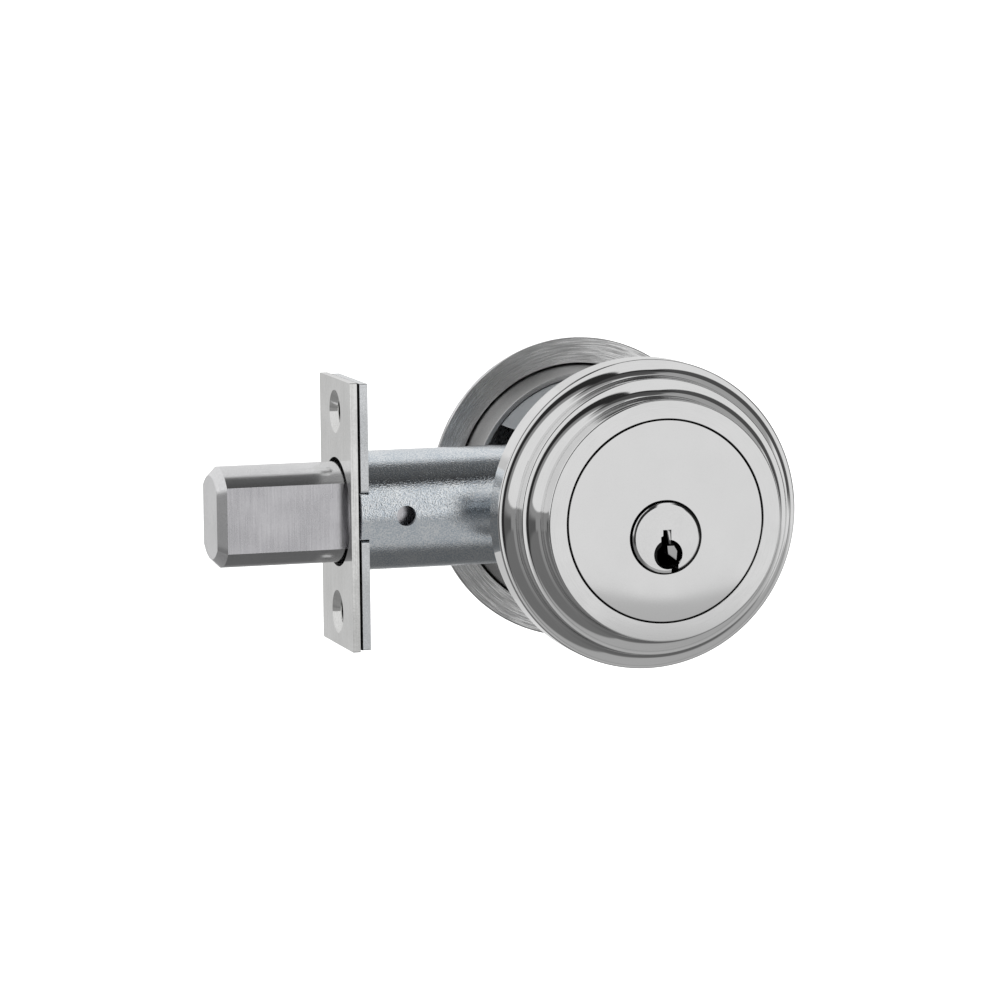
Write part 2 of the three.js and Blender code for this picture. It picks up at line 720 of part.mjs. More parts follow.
/** The thumb turn: a round base and a wing that lies along the bolt when it is thrown. */
function thumbTurn() {
  const [seat, shoulder] = TURN.baseY;
  const base = turned([
    [0, seat],
    [TURN.base, seat],
    [TURN.base, seat + 1.6],
    [TURN.base - 2.2, shoulder],
    [0, shoulder],
  ], 0, 40);
  const count = 12;
  const outline = [];
  for (let i = 0; i <= count; i++) {
    const angle = Math.PI * (i / count);
    outline.push([
      TURN.wingHalf * Math.cos(angle),
      seat + 2.5 + (TURN.wingY - seat - 2.5) * Math.sin(angle) ** 0.55,
    ]);
  }
  const shape = new THREE.Shape(outline.map(([x, y]) => new THREE.Vector2(x, y)));
  const wing = new THREE.ExtrudeGeometry(shape, {
    depth: 2 * TURN.wingThick - 1.2,
    bevelThickness: 0.6,
    bevelSize: 0.6,
    bevelOffset: -0.6,
    bevelSegments: 1,
  });
  wing.translate(0, 0, 0.6 - TURN.wingThick);
  const turn = base.add(toSolid(wing));
  const bored = turn.subtract(barY(SPINDLE.radius + 0.3, seat - 1, SPINDLE.y[1] + 0.4));
  return shifted(bored, 0, 0, AXIS_DROP);
}

// ---- Assembly -----------------------------------------------------------------------------------

const lock = new THREE.Group();

/** Adds one named piece to a group. */
function add(group, name, solid, material, position = [0, 0, 0]) {
  const mesh = new THREE.Mesh(toGeometry(solid), material);
  mesh.name = name;
  mesh.position.set(...position);
  group.add(mesh);
}

/** A new group inside the lock. */
function section() {
  const group = new THREE.Group();
  lock.add(group);
  return group;
}

const outside = section();
add(outside, "exterior_collar", exteriorCollar(), FINISH.polished);
add(outside, "cylinder_body", cylinderBody(), FINISH.satin);
add(outside, "support_plate", supportPlate(), FINISH.zinc);
add(
  outside,
  "collar_snap_ring",
  ringY(SNAP_RING.inner, SNAP_RING.outer, SNAP_RING.y[0], SNAP_RING.y[1]),
  FINISH.spring,
);
[POST.z, -POST.z].forEach((z, i) => {
  add(outside, `mounting_post_${i + 1}`, mountingPost(), FINISH.steel, [0, 0, z]);
});

const pinning = section();
const driverBottom = PINS.shear + 0.25;
const springBottom = driverBottom + PINS.driver + 0.3;
const driverPin = barZ(PINS.radius, driverBottom, driverBottom + PINS.driver);
const driverSpring = coilSpring(
  PINS.radius - PINS.wire - 0.05,
  CYLINDER.towerTop - 0.4 - springBottom,
  PINS.springTurns,
  PINS.wire,
);
for (let i = 0; i < PINS.count; i++) {
  const y = pinY(i);
  add(pinning, `key_pin_${i + 1}`, keyPin(PINS.cuts[i]), FINISH.brass, [0, y, 0]);
  add(pinning, `driver_pin_${i + 1}`, driverPin, FINISH.steel, [0, y, 0]);
  add(pinning, `driver_spring_${i + 1}`, driverSpring, FINISH.spring, [0, y, springBottom]);
}
const coverY = [PINS.firstY - 1.7, CYLINDER.back - 0.3];
add(
  pinning,
  "chamber_cover",
  block([-4.2, coverY[0], CYLINDER.towerTop + 0.1], [4.2, coverY[1], CYLINDER.towerTop + 0.8]),
  FINISH.brass,
);

const plug = section();
add(plug, "cylinder_plug", cylinderPlug(), FINISH.satin);
add(plug, "sidebar", sidebar(), FINISH.steel);
const sidebarSpring = coilSpring(0.5, 1.0, 3, 0.12).rotate([0, 90, 0]);
[pinY(1), pinY(4)].forEach((y, i) => {
  const place = [3.3, y, AXIS_DROP];
  add(plug, `sidebar_spring_${i + 1}`, sidebarSpring, FINISH.spring, place);
});
add(plug, "plug_cam", plugCam(), FINISH.brass);

const edge = section();
add(edge, "faceplate", faceplate(), FINISH.satin);
add(edge, "backing_plate", backingPlate(), FINISH.zinc);
add(edge, "bolt_sleeve", boltSleeve(), FINISH.zinc);
add(edge, "side_plate_near", sidePlate(-1), FINISH.zinc);
add(edge, "side_plate_far", sidePlate(1), FINISH.zinc);
[-1, 1].forEach((side, i) => {
  const y = [side * 8.6, side * 12.55].sort((a, b) => a - b);
  const rivet = barY(FRAME_RIVET.radius, y[0], y[1], SLEEVE.rivetX, 0);
  add(edge, `sleeve_rivet_${i + 1}`, rivet, FINISH.steel);
});
FRAME_RIVETS.forEach(({ x, z }, i) => {
  const rivet = barY(FRAME_RIVET.radius, -FRAME_RIVET.half, FRAME_RIVET.half, x, z);
  add(edge, `frame_rivet_${i + 1}`, rivet, FINISH.steel);
});
add(edge, "detent_spring", detentSpring(), FINISH.spring);

const thrown = section();
add(thrown, "bolt", boltBar(), FINISH.ground);
add(thrown, "saw_roller", barX(ROLLER.radius, ROLLER.x[0], ROLLER.x[1]), FINISH.steel);
add(thrown, "link_plate_near", linkPlate(-1), FINISH.zinc);
add(thrown, "link_plate_far", linkPlate(1), FINISH.zinc);
const linkPin = barY(LINK_PIN.radius, -LINK_PIN.half, LINK_PIN.half, LINK_PIN.x, LINK_PIN.z);
add(thrown, "link_pin", linkPin, FINISH.steel);

const turning = section();
add(turning, "hub_cam", hubCam(), FINISH.cast);
add(turning, "tailpiece", tailpiece(), FINISH.brass);
add(turning, "tailpiece_driver", tailpieceDriver(), FINISH.brass);
add(turning, "turn_spindle", turnSpindle(), FINISH.steel);
const clip = ringY(SPINDLE.radius + 0.2, CLIP.outer, CLIP.y[0], CLIP.y[1], AXIS_DROP);
add(turning, "spindle_clip", clip, FINISH.spring);
const washer = ringY(WASHER.inner, WASHER.outer, WASHER.y[0], WASHER.y[1], AXIS_DROP);
add(turning, "turn_washer", washer, FINISH.spring);
add(turning, "thumb_turn", thumbTurn(), FINISH.satin);

const inside = section();
add(inside, "interior_rose", interiorRose(), FINISH.satin);
add(inside, "locating_ring", locatingRing(), FINISH.cast);
add(inside, "mounting_plate", mountingPlate(), FINISH.zinc);
[POST.z, -POST.z].forEach((z, i) => {
  add(inside, `mounting_screw_${i + 1}`, mountingScrew(), FINISH.steel, [0, 0, z]);
});
add(inside, "rose_set_screw", roseSetScrew(), FINISH.steel);

export default lock;
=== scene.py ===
"""Single-cylinder deadbolt door lock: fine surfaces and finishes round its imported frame.

Metres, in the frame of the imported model: the bolt points to -X, the key side faces -Y, +Z is up, and the
origin is where the bolt axis meets the door-bore axis, in the middle of the door's thickness.
"""

import json
import logging
import math
from dataclasses import dataclass
from enum import Enum
from typing import Sequence

import bmesh
import bpy
import numpy as np
from mathutils import Matrix, Vector
from mathutils.geometry import tessellate_polygon

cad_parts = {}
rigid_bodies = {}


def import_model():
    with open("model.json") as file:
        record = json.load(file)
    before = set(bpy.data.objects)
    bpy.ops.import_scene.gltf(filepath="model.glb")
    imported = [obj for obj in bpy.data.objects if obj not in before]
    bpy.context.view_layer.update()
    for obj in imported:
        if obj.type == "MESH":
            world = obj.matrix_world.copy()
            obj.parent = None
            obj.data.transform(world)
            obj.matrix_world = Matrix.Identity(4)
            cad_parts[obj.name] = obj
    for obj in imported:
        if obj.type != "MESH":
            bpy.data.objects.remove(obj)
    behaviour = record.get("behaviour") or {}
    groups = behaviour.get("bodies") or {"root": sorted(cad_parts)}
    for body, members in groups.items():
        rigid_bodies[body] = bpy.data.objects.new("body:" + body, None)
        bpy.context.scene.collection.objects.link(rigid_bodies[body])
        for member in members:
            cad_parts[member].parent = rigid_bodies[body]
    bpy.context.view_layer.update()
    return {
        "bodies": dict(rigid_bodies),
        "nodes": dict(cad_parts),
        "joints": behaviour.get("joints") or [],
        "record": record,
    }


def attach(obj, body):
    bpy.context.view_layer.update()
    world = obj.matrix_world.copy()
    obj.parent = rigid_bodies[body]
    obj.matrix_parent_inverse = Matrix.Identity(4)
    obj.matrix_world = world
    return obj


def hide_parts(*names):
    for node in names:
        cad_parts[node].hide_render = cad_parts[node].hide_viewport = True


LOG = logging.getLogger("deadbolt")
MM = 0.001
TURN = 2.0 * math.pi
DEGREES = 360.0 / TURN
KEY_AXIS_Z = -3.4
LONG_SCREW_Z = 19.6

Corner = tuple[float, float, float]
Loop = np.ndarray


# ---- Surfaces -----------------------------------------------------------------------------------


class Along(Enum):
    """The axis that a turned profile turns about, or that a plate's thickness runs along."""

    X = (1, 2, 0)
    Y = (0, 2, 1)
    Z = (0, 1, 2)


@dataclass
class Surface:
    """Vertices in millimetres and faces as lists of vertex numbers."""

    vertices: np.ndarray
    faces: list[list[int]]

    def joined(self, *others: "Surface") -> "Surface":
        """This surface and others in one, with their vertices side by side.

        Args:
            others: The surfaces to add.

        Returns:
            One surface that holds them all.
        """
        vertices, faces = [self.vertices], list(self.faces)
        start = len(self.vertices)
        for other in others:
            faces += [[start + i for i in face] for face in other.faces]
            vertices.append(other.vertices)
            start += len(other.vertices)
        return Surface(np.vstack(vertices), faces)

    def moved(self, x: float, y: float, z: float) -> "Surface":
        """A copy shifted by a distance along each axis."""
        return Surface(self.vertices + np.array([x, y, z]), self.faces)

    def turned_about_y(self, degrees: float) -> "Surface":
        """A copy turned about the Y axis through the origin, by the right-hand rule."""
        c, s = math.cos(math.radians(degrees)), math.sin(math.radians(degrees))
        turn = np.array([[c, 0.0, s], [0.0, 1.0, 0.0], [-s, 0.0, c]])
        return Surface(self.vertices @ turn.T, self.faces)


def grid_faces(rows: int, columns: int, wrap_rows: bool, wrap_columns: bool) -> list[list[int]]:
    """Quads of a grid of rows x columns vertices, numbered row by row.

    Args:
        rows: Number of rows.
        columns: Number of columns.
        wrap_rows: Whether the last row joins the first.
        wrap_columns: Whether the last column joins the first.

    Returns:
        The quads.
    """
    i = np.arange(rows if wrap_rows else rows - 1)[:, None]
    j = np.arange(columns if wrap_columns else columns - 1)[None, :]
    below, right = (i + 1) % rows, (j + 1) % columns
    quads = np.stack(
        [i * columns + j, i * columns + right, below * columns + right, below * columns + j], axis=-1
    )
    return quads.reshape(-1, 4).tolist()


def rounded(corners: Sequence[Corner], closed: bool = False, steps: int = 6) -> np.ndarray:
    """A path of straight lines with a round arc at each corner.

    Each corner is (a, b, radius). The arc touches both straight sides, so its ends lie radius divided by
    the tangent of half the angle between the sides away from the corner; radius 0 keeps it sharp.

    Args:
        corners: Corner points with their radii.
        closed: Whether the path runs on from the last corner to the first.
        steps: Straight steps in each arc.

    Returns:
        Points of the path, one row each.
    """
    points = np.array([corner[:2] for corner in corners], float)
    path: list[np.ndarray] = []
    for i, (_, _, radius) in enumerate(corners):
        here = points[i]
        if radius <= 0 or (not closed and i in (0, len(corners) - 1)):
            path.append(here[None, :])
            continue
        back = points[i - 1] - here
        ahead = points[(i + 1) % len(points)] - here
        back, ahead = back / np.linalg.norm(back), ahead / np.linalg.norm(ahead)
        half = math.acos(float(np.clip(back @ ahead, -1.0, 1.0))) / 2
        middle = (back + ahead) / np.linalg.norm(back + ahead)
        centre = here + middle * (radius / math.sin(half))
        first, last = (here + side * (radius / math.tan(half)) - centre for side in (back, ahead))
        sweep = math.pi - 2 * half
        t = np.linspace(0.0, 1.0, steps + 1)[:, None]
        path.append(centre + (np.sin((1 - t) * sweep) * first + np.sin(t * sweep) * last) / math.sin(sweep))
    return np.vstack(path)


def revolve(
    profile: np.ndarray,
    along: Along = Along.Y,
    centre: tuple[float, float] = (0.0, 0.0),
    segments: int = 200,
    closed: bool = True,
) -> Surface:
    """A profile of (radius, depth) points turned a full circle about an axis.

    Args:
        profile: Points as (radius, depth along the axis).
        along: The axis.
        centre: Where the axis stands in the other two directions.
        segments: Steps round the circle.
        closed: Whether the profile's last point joins its first.

    Returns:
        The turned surface; points at radius 0 are merged later.
    """
    angle = np.linspace(0.0, TURN, segments, endpoint=False)[:, None]
    radius, depth = profile[None, :, 0], profile[None, :, 1]
    local = np.stack(
        [
            centre[0] + radius * np.cos(angle),
            centre[1] + radius * np.sin(angle),
            depth + 0.0 * angle,
        ],
        axis=-1,
    ).reshape(-1, 3)
    return Surface(to_axes(local, along), grid_faces(segments, profile.shape[0], True, closed))


def to_axes(local: np.ndarray, along: Along) -> np.ndarray:
    """Points (across, up, depth) put into X, Y, Z order for an axis."""
    out = np.empty_like(local)
    out[:, list(along.value)] = local
    return out


def circle(radius: float, centre: tuple[float, float] = (0.0, 0.0), count: int = 96) -> Loop:
    """A round loop of points, anticlockwise from the first axis."""
    angle = np.linspace(0.0, TURN, count, endpoint=False)
    return np.stack([centre[0] + radius * np.cos(angle), centre[1] + radius * np.sin(angle)], axis=-1)


def slab(
    outer: Sequence[tuple[Loop, float]],
    holes: Sequence[Sequence[tuple[Loop, float]]] = (),
    along: Along = Along.Y,
) -> Surface:
    """A flat plate whose outline and holes may change their shape with depth.

    The outline and each hole is a stack of loops with the same number of points, each at its own depth.
    Neighbouring loops are joined by a wall, and the first and the last loops bound the two flat faces,
    which are bands of quads where a single hole has as many points as the outline.

    Args:
        outer: The outline's loops and depths, from one face to the other.
        holes: The same for each hole.
        along: The axis that the depth runs along.

    Returns:
        The closed plate.
    """
    vertices: list[np.ndarray] = []
    faces: list[list[int]] = []
    rims: tuple[list[tuple[int, Loop]], list[tuple[int, Loop]]] = ([], [])
    start = 0
    for stack in (outer, *holes):
        count = len(stack[0][0])
        for loop, depth in stack:
            vertices.append(np.column_stack([loop, np.full(count, depth)]))
        wall = grid_faces(len(stack), count, False, True)
        faces += [[start + i for i in face] for face in wall]
        rims[0].append((start, stack[0][0]))
        rims[1].append((start + count * (len(stack) - 1), stack[-1][0]))
        start += count * len(stack)
    for rim in rims:
        if len(rim) == 2 and len(rim[0][1]) == len(rim[1][1]):
            count = len(rim[0][1])
            between = np.array(grid_faces(2, count, False, True))
            faces += np.where(between < count, between + rim[0][0], between - count + rim[1][0]).tolist()
            continue
        numbers = np.concatenate([first + np.arange(len(loop)) for first, loop in rim])
        outlines = [[Vector((u, v, 0.0)) for u, v in loop] for _, loop in rim]
        faces += [[int(numbers[i]) for i in triangle] for triangle in tessellate_polygon(outlines)]
    return Surface(to_axes(np.vstack(vertices), along), faces)


def plate(
    outline: Loop, depth: tuple[float, float], holes: Sequence[Loop] = (), along: Along = Along.Y
) -> Surface:
    """A plate of even thickness, pierced straight through by holes.

    Args:
        outline: The outline's points.
        depth: Where the two faces are.
        holes: The holes' points.
        along: The axis that the thickness runs along.

    Returns:
        The closed plate.
    """
    return slab(
        [(outline, depth[0]), (outline, depth[1])],
        [[(hole, depth[0]), (hole, depth[1])] for hole in holes],
        along,
    )


def threaded(radius: float, depth: tuple[float, float], pitch: float) -> Surface:
    """A threaded bar along Y.

    The radius at angle a and depth y is the outer radius less a triangle wave of y / pitch - a / turn,
    whose height is 0.6 of the pitch, so the crest climbs one pitch in every turn.

    Args:
        radius: Outer radius.
        depth: Where the bar starts and ends.
        pitch: Distance between threads.

    Returns:
        The closed bar.
    """
    low, high = depth
    sides, rows = 28, int((high - low) / pitch * 8)
    y = np.linspace(low, high, rows)[:, None]
    angle = np.linspace(0.0, TURN, sides, endpoint=False)[None, :]
    wave = np.abs(((y / pitch - angle / TURN) % 1.0) - 0.5) * 2
    fade = np.clip(np.minimum(y - low, high - y) / (2 * pitch), 0.0, 1.0)
    r = radius - 0.6 * pitch * wave * fade
    shell = np.stack([r * np.cos(angle), y + 0 * angle, r * np.sin(angle)], axis=-1).reshape(-1, 3)
    ends = np.array([[0.0, low, 0.0], [0.0, high, 0.0]])
    count = shell.shape[0]
    last = count - sides
    caps = [[count, i, (i + 1) % sides] for i in range(sides)]
    caps += [[count + 1, last + (i + 1) % sides, last + i] for i in range(sides)]
    return Surface(np.vstack([shell, ends]), grid_faces(rows, sides, False, True) + caps)


def box(low: Sequence[float], high: Sequence[float]) -> Surface:
    """A block between two corners, used to cut other shapes."""
    x = [low[0], high[0], high[0], low[0]]
    z = [low[2], low[2], high[2], high[2]]
    return plate(np.column_stack([x, z]), (low[1], high[1]))


def carved(surface: Surface, *cutters: Surface) -> Surface:
    """A closed shape with other closed shapes cut out of it.

    Args:
        surface: The shape that stays.
        cutters: The shapes that are taken away.

    Returns:
        The cut shape.
    """
    things = []
    for i, part in enumerate((surface, *cutters)):
        mesh = bpy.data.meshes.new(f"blank_{i}")
        mesh.from_pydata(part.vertices.tolist(), [], part.faces)
        tidy = bmesh.new()
        tidy.from_mesh(mesh)
        bmesh.ops.remove_doubles(tidy, verts=tidy.verts, dist=0.0005)
        bmesh.ops.recalc_face_normals(tidy, faces=tidy.faces)
        tidy.to_mesh(mesh)
        tidy.free()
        thing = bpy.data.objects.new(mesh.name, mesh)
        bpy.context.scene.collection.objects.link(thing)
        things.append(thing)
    for thing in things[1:]:
        cut = things[0].modifiers.new(thing.name, "BOOLEAN")
        cut.operation, cut.solver, cut.object = "DIFFERENCE", "EXACT", thing
    made = things[0].evaluated_get(bpy.context.evaluated_depsgraph_get()).to_mesh()
    flat = np.empty(len(made.vertices) * 3)
    made.vertices.foreach_get("co", flat)
    result = Surface(flat.reshape(-1, 3), [list(p.vertices) for p in made.polygons])
    for thing in things:
        mesh = thing.data
        bpy.data.objects.remove(thing)
        bpy.data.meshes.remove(mesh)
    return result


def rod(
    radius: float,
    depth: tuple[float, float],
    along: Along = Along.Y,
    centre: tuple[float, float] = (0.0, 0.0),
    edge: float = 0.2,
) -> Surface:
    """A round bar with rounded ends of a small radius."""
    low, high = depth
    corners = [(0, low, 0), (radius, low, edge), (radius, high, edge), (0, high, 0)]
    return revolve(rounded(corners, steps=3), along, centre, 48, closed=False)


def hoop(
    inner: float,
    outer: float,
    depth: tuple[float, float],
    centre: tuple[float, float] = (0.0, 0.0),
    edge: float = 0.12,
) -> Surface:
    """A flat ring about the Y direction with rounded edges."""
    low, high = depth
    corners = [(inner, low, edge), (outer, low, edge), (outer, high, edge), (inner, high, edge)]
    return revolve(rounded(corners, closed=True, steps=3), Along.Y, centre, 128)


# ---- Shader arithmetic --------------------------------------------------------------------------


class Value:
    """A shader socket that can be used in sums, as a number is."""

    def __init__(self, board: "Board", socket: bpy.types.NodeSocket) -> None:
        """Wraps one output socket of a node tree."""
        self.board = board
        self.socket = socket

    def math(self, operation: str, *others: "Value | float") -> "Value":
        """A Math node on this value and others."""
        inputs = dict(enumerate([self, *others]))
        return self.board.node("ShaderNodeMath", {"operation": operation}, inputs)

    def __add__(self, other: "Value | float") -> "Value":
        """Sum."""
        return self.math("ADD", other)

    __radd__ = __add__

    def __mul__(self, other: "Value | float") -> "Value":
        """Product."""
        return self.math("MULTIPLY", other)

    __rmul__ = __mul__

    def __sub__(self, other: "Value | float") -> "Value":
        """Difference."""
        return self.math("SUBTRACT", other)

    def __rsub__(self, other: float) -> "Value":
        """Difference with the number first."""
        return self.board.node("ShaderNodeMath", {"operation": "SUBTRACT"}, {0: other, 1: self})

    def __truediv__(self, other: "Value | float") -> "Value":
        """Quotient."""
        return self.math("DIVIDE", other)

    def __pow__(self, power: float) -> "Value":
        """Power."""
        return self.math("POWER", power)

    def step(self, low: float, high: float) -> "Value":
        """0 below low, 1 above high, and a smooth rise between them."""
        return self.board.node(
            "ShaderNodeMapRange",
            {"interpolation_type": "SMOOTHSTEP"},
            {"Value": self, "From Min": low, "From Max": high},
        )


class Board:
    """A node tree that is built up by expressions."""

    def __init__(self, tree: bpy.types.NodeTree) -> None:
        """Takes the tree of a material or of the world."""
        self.tree = tree

    def node(
        self,
        kind: str,
        settings: dict[str, object] | None = None,
        inputs: dict[int | str, object] | None = None,
        output: int | str = 0,
    ) -> Value:
        """Adds any node.

        Args:
            kind: The node's type.
            settings: Its own settings, set before its sockets.
            inputs: Values or links for its sockets, by number or name.
            output: Which output to give back.

        Returns:
            The output as a value.
        """
        node = self.tree.nodes.new(kind)
        for key, setting in (settings or {}).items():
            setattr(node, key, setting)
        for key, value in (inputs or {}).items():
            if isinstance(value, Value):
                self.tree.links.new(value.socket, node.inputs[key])
            else:
                node.inputs[key].default_value = value
        return Value(self, node.outputs[output] if node.outputs else None)

    def axes(self) -> tuple[Value, Value, Value]:
        """The Object coordinates in millimetres, one value for each axis."""
        place = self.node("ShaderNodeTexCoord", output="Object")
        split = self.node("ShaderNodeSeparateXYZ", inputs={0: place}).socket.node
        return tuple(Value(self, split.outputs[i]) * (1.0 / MM) for i in range(3))

    def vector(self, x: Value | float, y: Value | float, z: Value | float) -> Value:
        """Three values as one vector."""
        return self.node("ShaderNodeCombineXYZ", inputs={0: x, 1: y, 2: z})

    def noise(self, place: Value, scale: float = 1.0, detail: float = 2.0, rough: float = 0.5) -> Value:
        """Noise between 0 and 1 at a place."""
        inputs = {"Vector": place, "Scale": scale, "Detail": detail, "Roughness": rough}
        return self.node("ShaderNodeTexNoise", inputs=inputs)

    def tint(self, dark: Sequence[float], light: Sequence[float], mix: Value) -> Value:
        """A colour between two, chosen by a value from 0 to 1."""
        return self.node(
            "ShaderNodeMix",
            {"data_type": "RGBA"},
            {"Factor": mix, 6: (*dark, 1.0), 7: (*light, 1.0)},
            output=2,
        )


class Shader(Board):
    """A material's node tree with one Principled shader."""

    def __init__(self, name: str) -> None:
        """Starts an empty material with a Principled shader."""
        self.material = bpy.data.materials.new(name)
        self.material.use_nodes = True
        super().__init__(self.material.node_tree)
        self.surface = self.tree.nodes["Principled BSDF"]

    def bump(self, height: Value) -> Value:
        """A bumped normal from a height in millimetres."""
        return self.node("ShaderNodeBump", inputs={"Height": height, "Distance": MM})

    def feed(self, **sockets: object) -> None:
        """Sets or links sockets of the Principled shader; underscores in names stand for spaces."""
        for key, value in sockets.items():
            socket = self.surface.inputs[key.replace("_", " ")]
            if isinstance(value, Value):
                self.tree.links.new(value.socket, socket)
            else:
                socket.default_value = value


# ---- Finishes -----------------------------------------------------------------------------------


class Lay(Enum):
    """Which way the marks of grinding or brushing run."""

    ROUND_Y = "in circles about the Y direction"
    UP_Z = "straight up and down"
    ALONG_X = "along the bolt"
    NONE = "in no direction"


@dataclass(frozen=True)
class Metal:
    """A plated or bare metal with tool marks, grain and slight unevenness.

    Sizes are in millimetres: mark is the spacing of the tool marks, grain that of the fine grain and cloud
    that of the broad unevenness, and the two depths are the heights of their bumps. Share is how much of the
    cloud, the marks and the grain go into the colour, and a smaller spread gives a harder contrast.

    Some places get painted shade: their colour is mixed towards the shade colour and their roughness raised
    by the shade roughness, where shade falls. Gloom is a radius, a start and an end along Y: gaps and
    recesses nearer the axis than that, between the two, painted dark. Rim is a range of radii, painted dark
    only on the side away from the bolt, in the corner of an edge, and goes with gloom. Joint is a range
    along X where two plates face each other, painted dark for the shade in the gap between them.
    """

    name: str
    dark: tuple[float, float, float]
    light: tuple[float, float, float]
    roughness: tuple[float, float]
    lay: Lay = Lay.NONE
    mark: float = 0.12
    mark_depth: float = 0.0
    grain: float = 0.25
    grain_depth: float = 0.0
    cloud: float = 9.0
    share: tuple[float, float, float] = (0.4, 0.4, 0.2)
    spread: float = 0.2
    centre_z: float = 0.0
    # gloom, joint and rim place painted shade; the shade colour and the shade roughness are its colour and
    # the roughness it adds.
    gloom: tuple[float, float, float] | None = None
    joint: tuple[float, float] | None = None
    rim: tuple[float, float] | None = None
    shade_colour: tuple[float, float, float] = (0.03, 0.03, 0.03)
    shade_roughness: float = 0.35
    metallic: float = 1.0

    def place(self, shader: Shader) -> Value:
        """Coordinates that are stretched along the tool marks, in units of their spacing."""
        x, y, z = shader.axes()
        long = 0.02
        if self.lay is Lay.ROUND_Y:
            up = z - self.centre_z
            radius = (x * x + up * up) ** 0.5
            round_x, round_z = x / radius, up / radius
            return shader.vector(radius * (1 / self.mark), round_x * 5.0, round_z * 5.0 + y * 0.1)
        if self.lay is Lay.UP_Z:
            return shader.vector(x * (1 / self.mark), y * (1 / self.mark), z * (long / self.mark))
        if self.lay is Lay.ALONG_X:
            return shader.vector(x * (long / self.mark), y * (1 / self.mark), z * (1 / self.mark))
        return shader.vector(x * (1 / self.mark), y * (1 / self.mark), z * (1 / self.mark))

    def made(self) -> bpy.types.Material:
        """Builds the material.

        Returns:
            The material, whose colour and roughness drift with a cloudy noise and with the tool marks, and
            which is darkened with painted shade where gloom, rim or joint are set.
        """
        shader = Shader(self.name)
        x, y, z = shader.axes()
        whole = shader.vector(x, y, z)
        marks = shader.noise(self.place(shader), detail=3.0, rough=0.6)
        cloud = shader.noise(whole, 1.0 / self.cloud, 3.0)
        grain = shader.noise(whole, 1.0 / self.grain, 2.0)
        of_cloud, of_marks, of_grain = self.share
        tone = cloud * of_cloud + marks * of_marks + grain * of_grain
        tone = tone.step(0.5 - self.spread, 0.5 + self.spread)
        low, high = self.roughness
        height = marks * self.mark_depth + grain * self.grain_depth
        colour, rough = shader.tint(self.dark, self.light, tone), tone * (low - high) + high
        # Painted shade: the colour goes towards the shade colour, and the roughness rises, in gaps, recesses
        # and plate joints where shade falls, and on the rim's side away from the bolt.
        hidden = None
        if self.gloom:
            within, start, end = self.gloom
            radius = (x * x + (z - self.centre_z) * (z - self.centre_z)) ** 0.5
            deep = y.step(start, start + 0.2) * (1.0 - y.step(end, end + 0.2))
            hidden = (1.0 - radius.step(within, within + 0.02)) * deep
            if self.rim:
                inner, outer = self.rim
                around = radius.step(inner, inner + 0.02) * (1.0 - radius.step(outer, outer + 0.02))
                hidden = hidden + around * x.step(0.5, 2.5)
        if self.joint:
            start, end = self.joint
            hidden = x.step(start, start + 0.02) * (1.0 - x.step(end, end + 0.02))
        if hidden is not None:
            shaded = {0: hidden, 6: colour, 7: (*self.shade_colour, 1.0)}
            colour = shader.node("ShaderNodeMix", {"data_type": "RGBA"}, shaded, output=2)
            rough = rough + hidden * self.shade_roughness
        shader.feed(
            Base_Color=colour,
            Metallic=self.metallic,
            Roughness=rough,
            Normal=shader.bump(height),
        )
        return shader.material


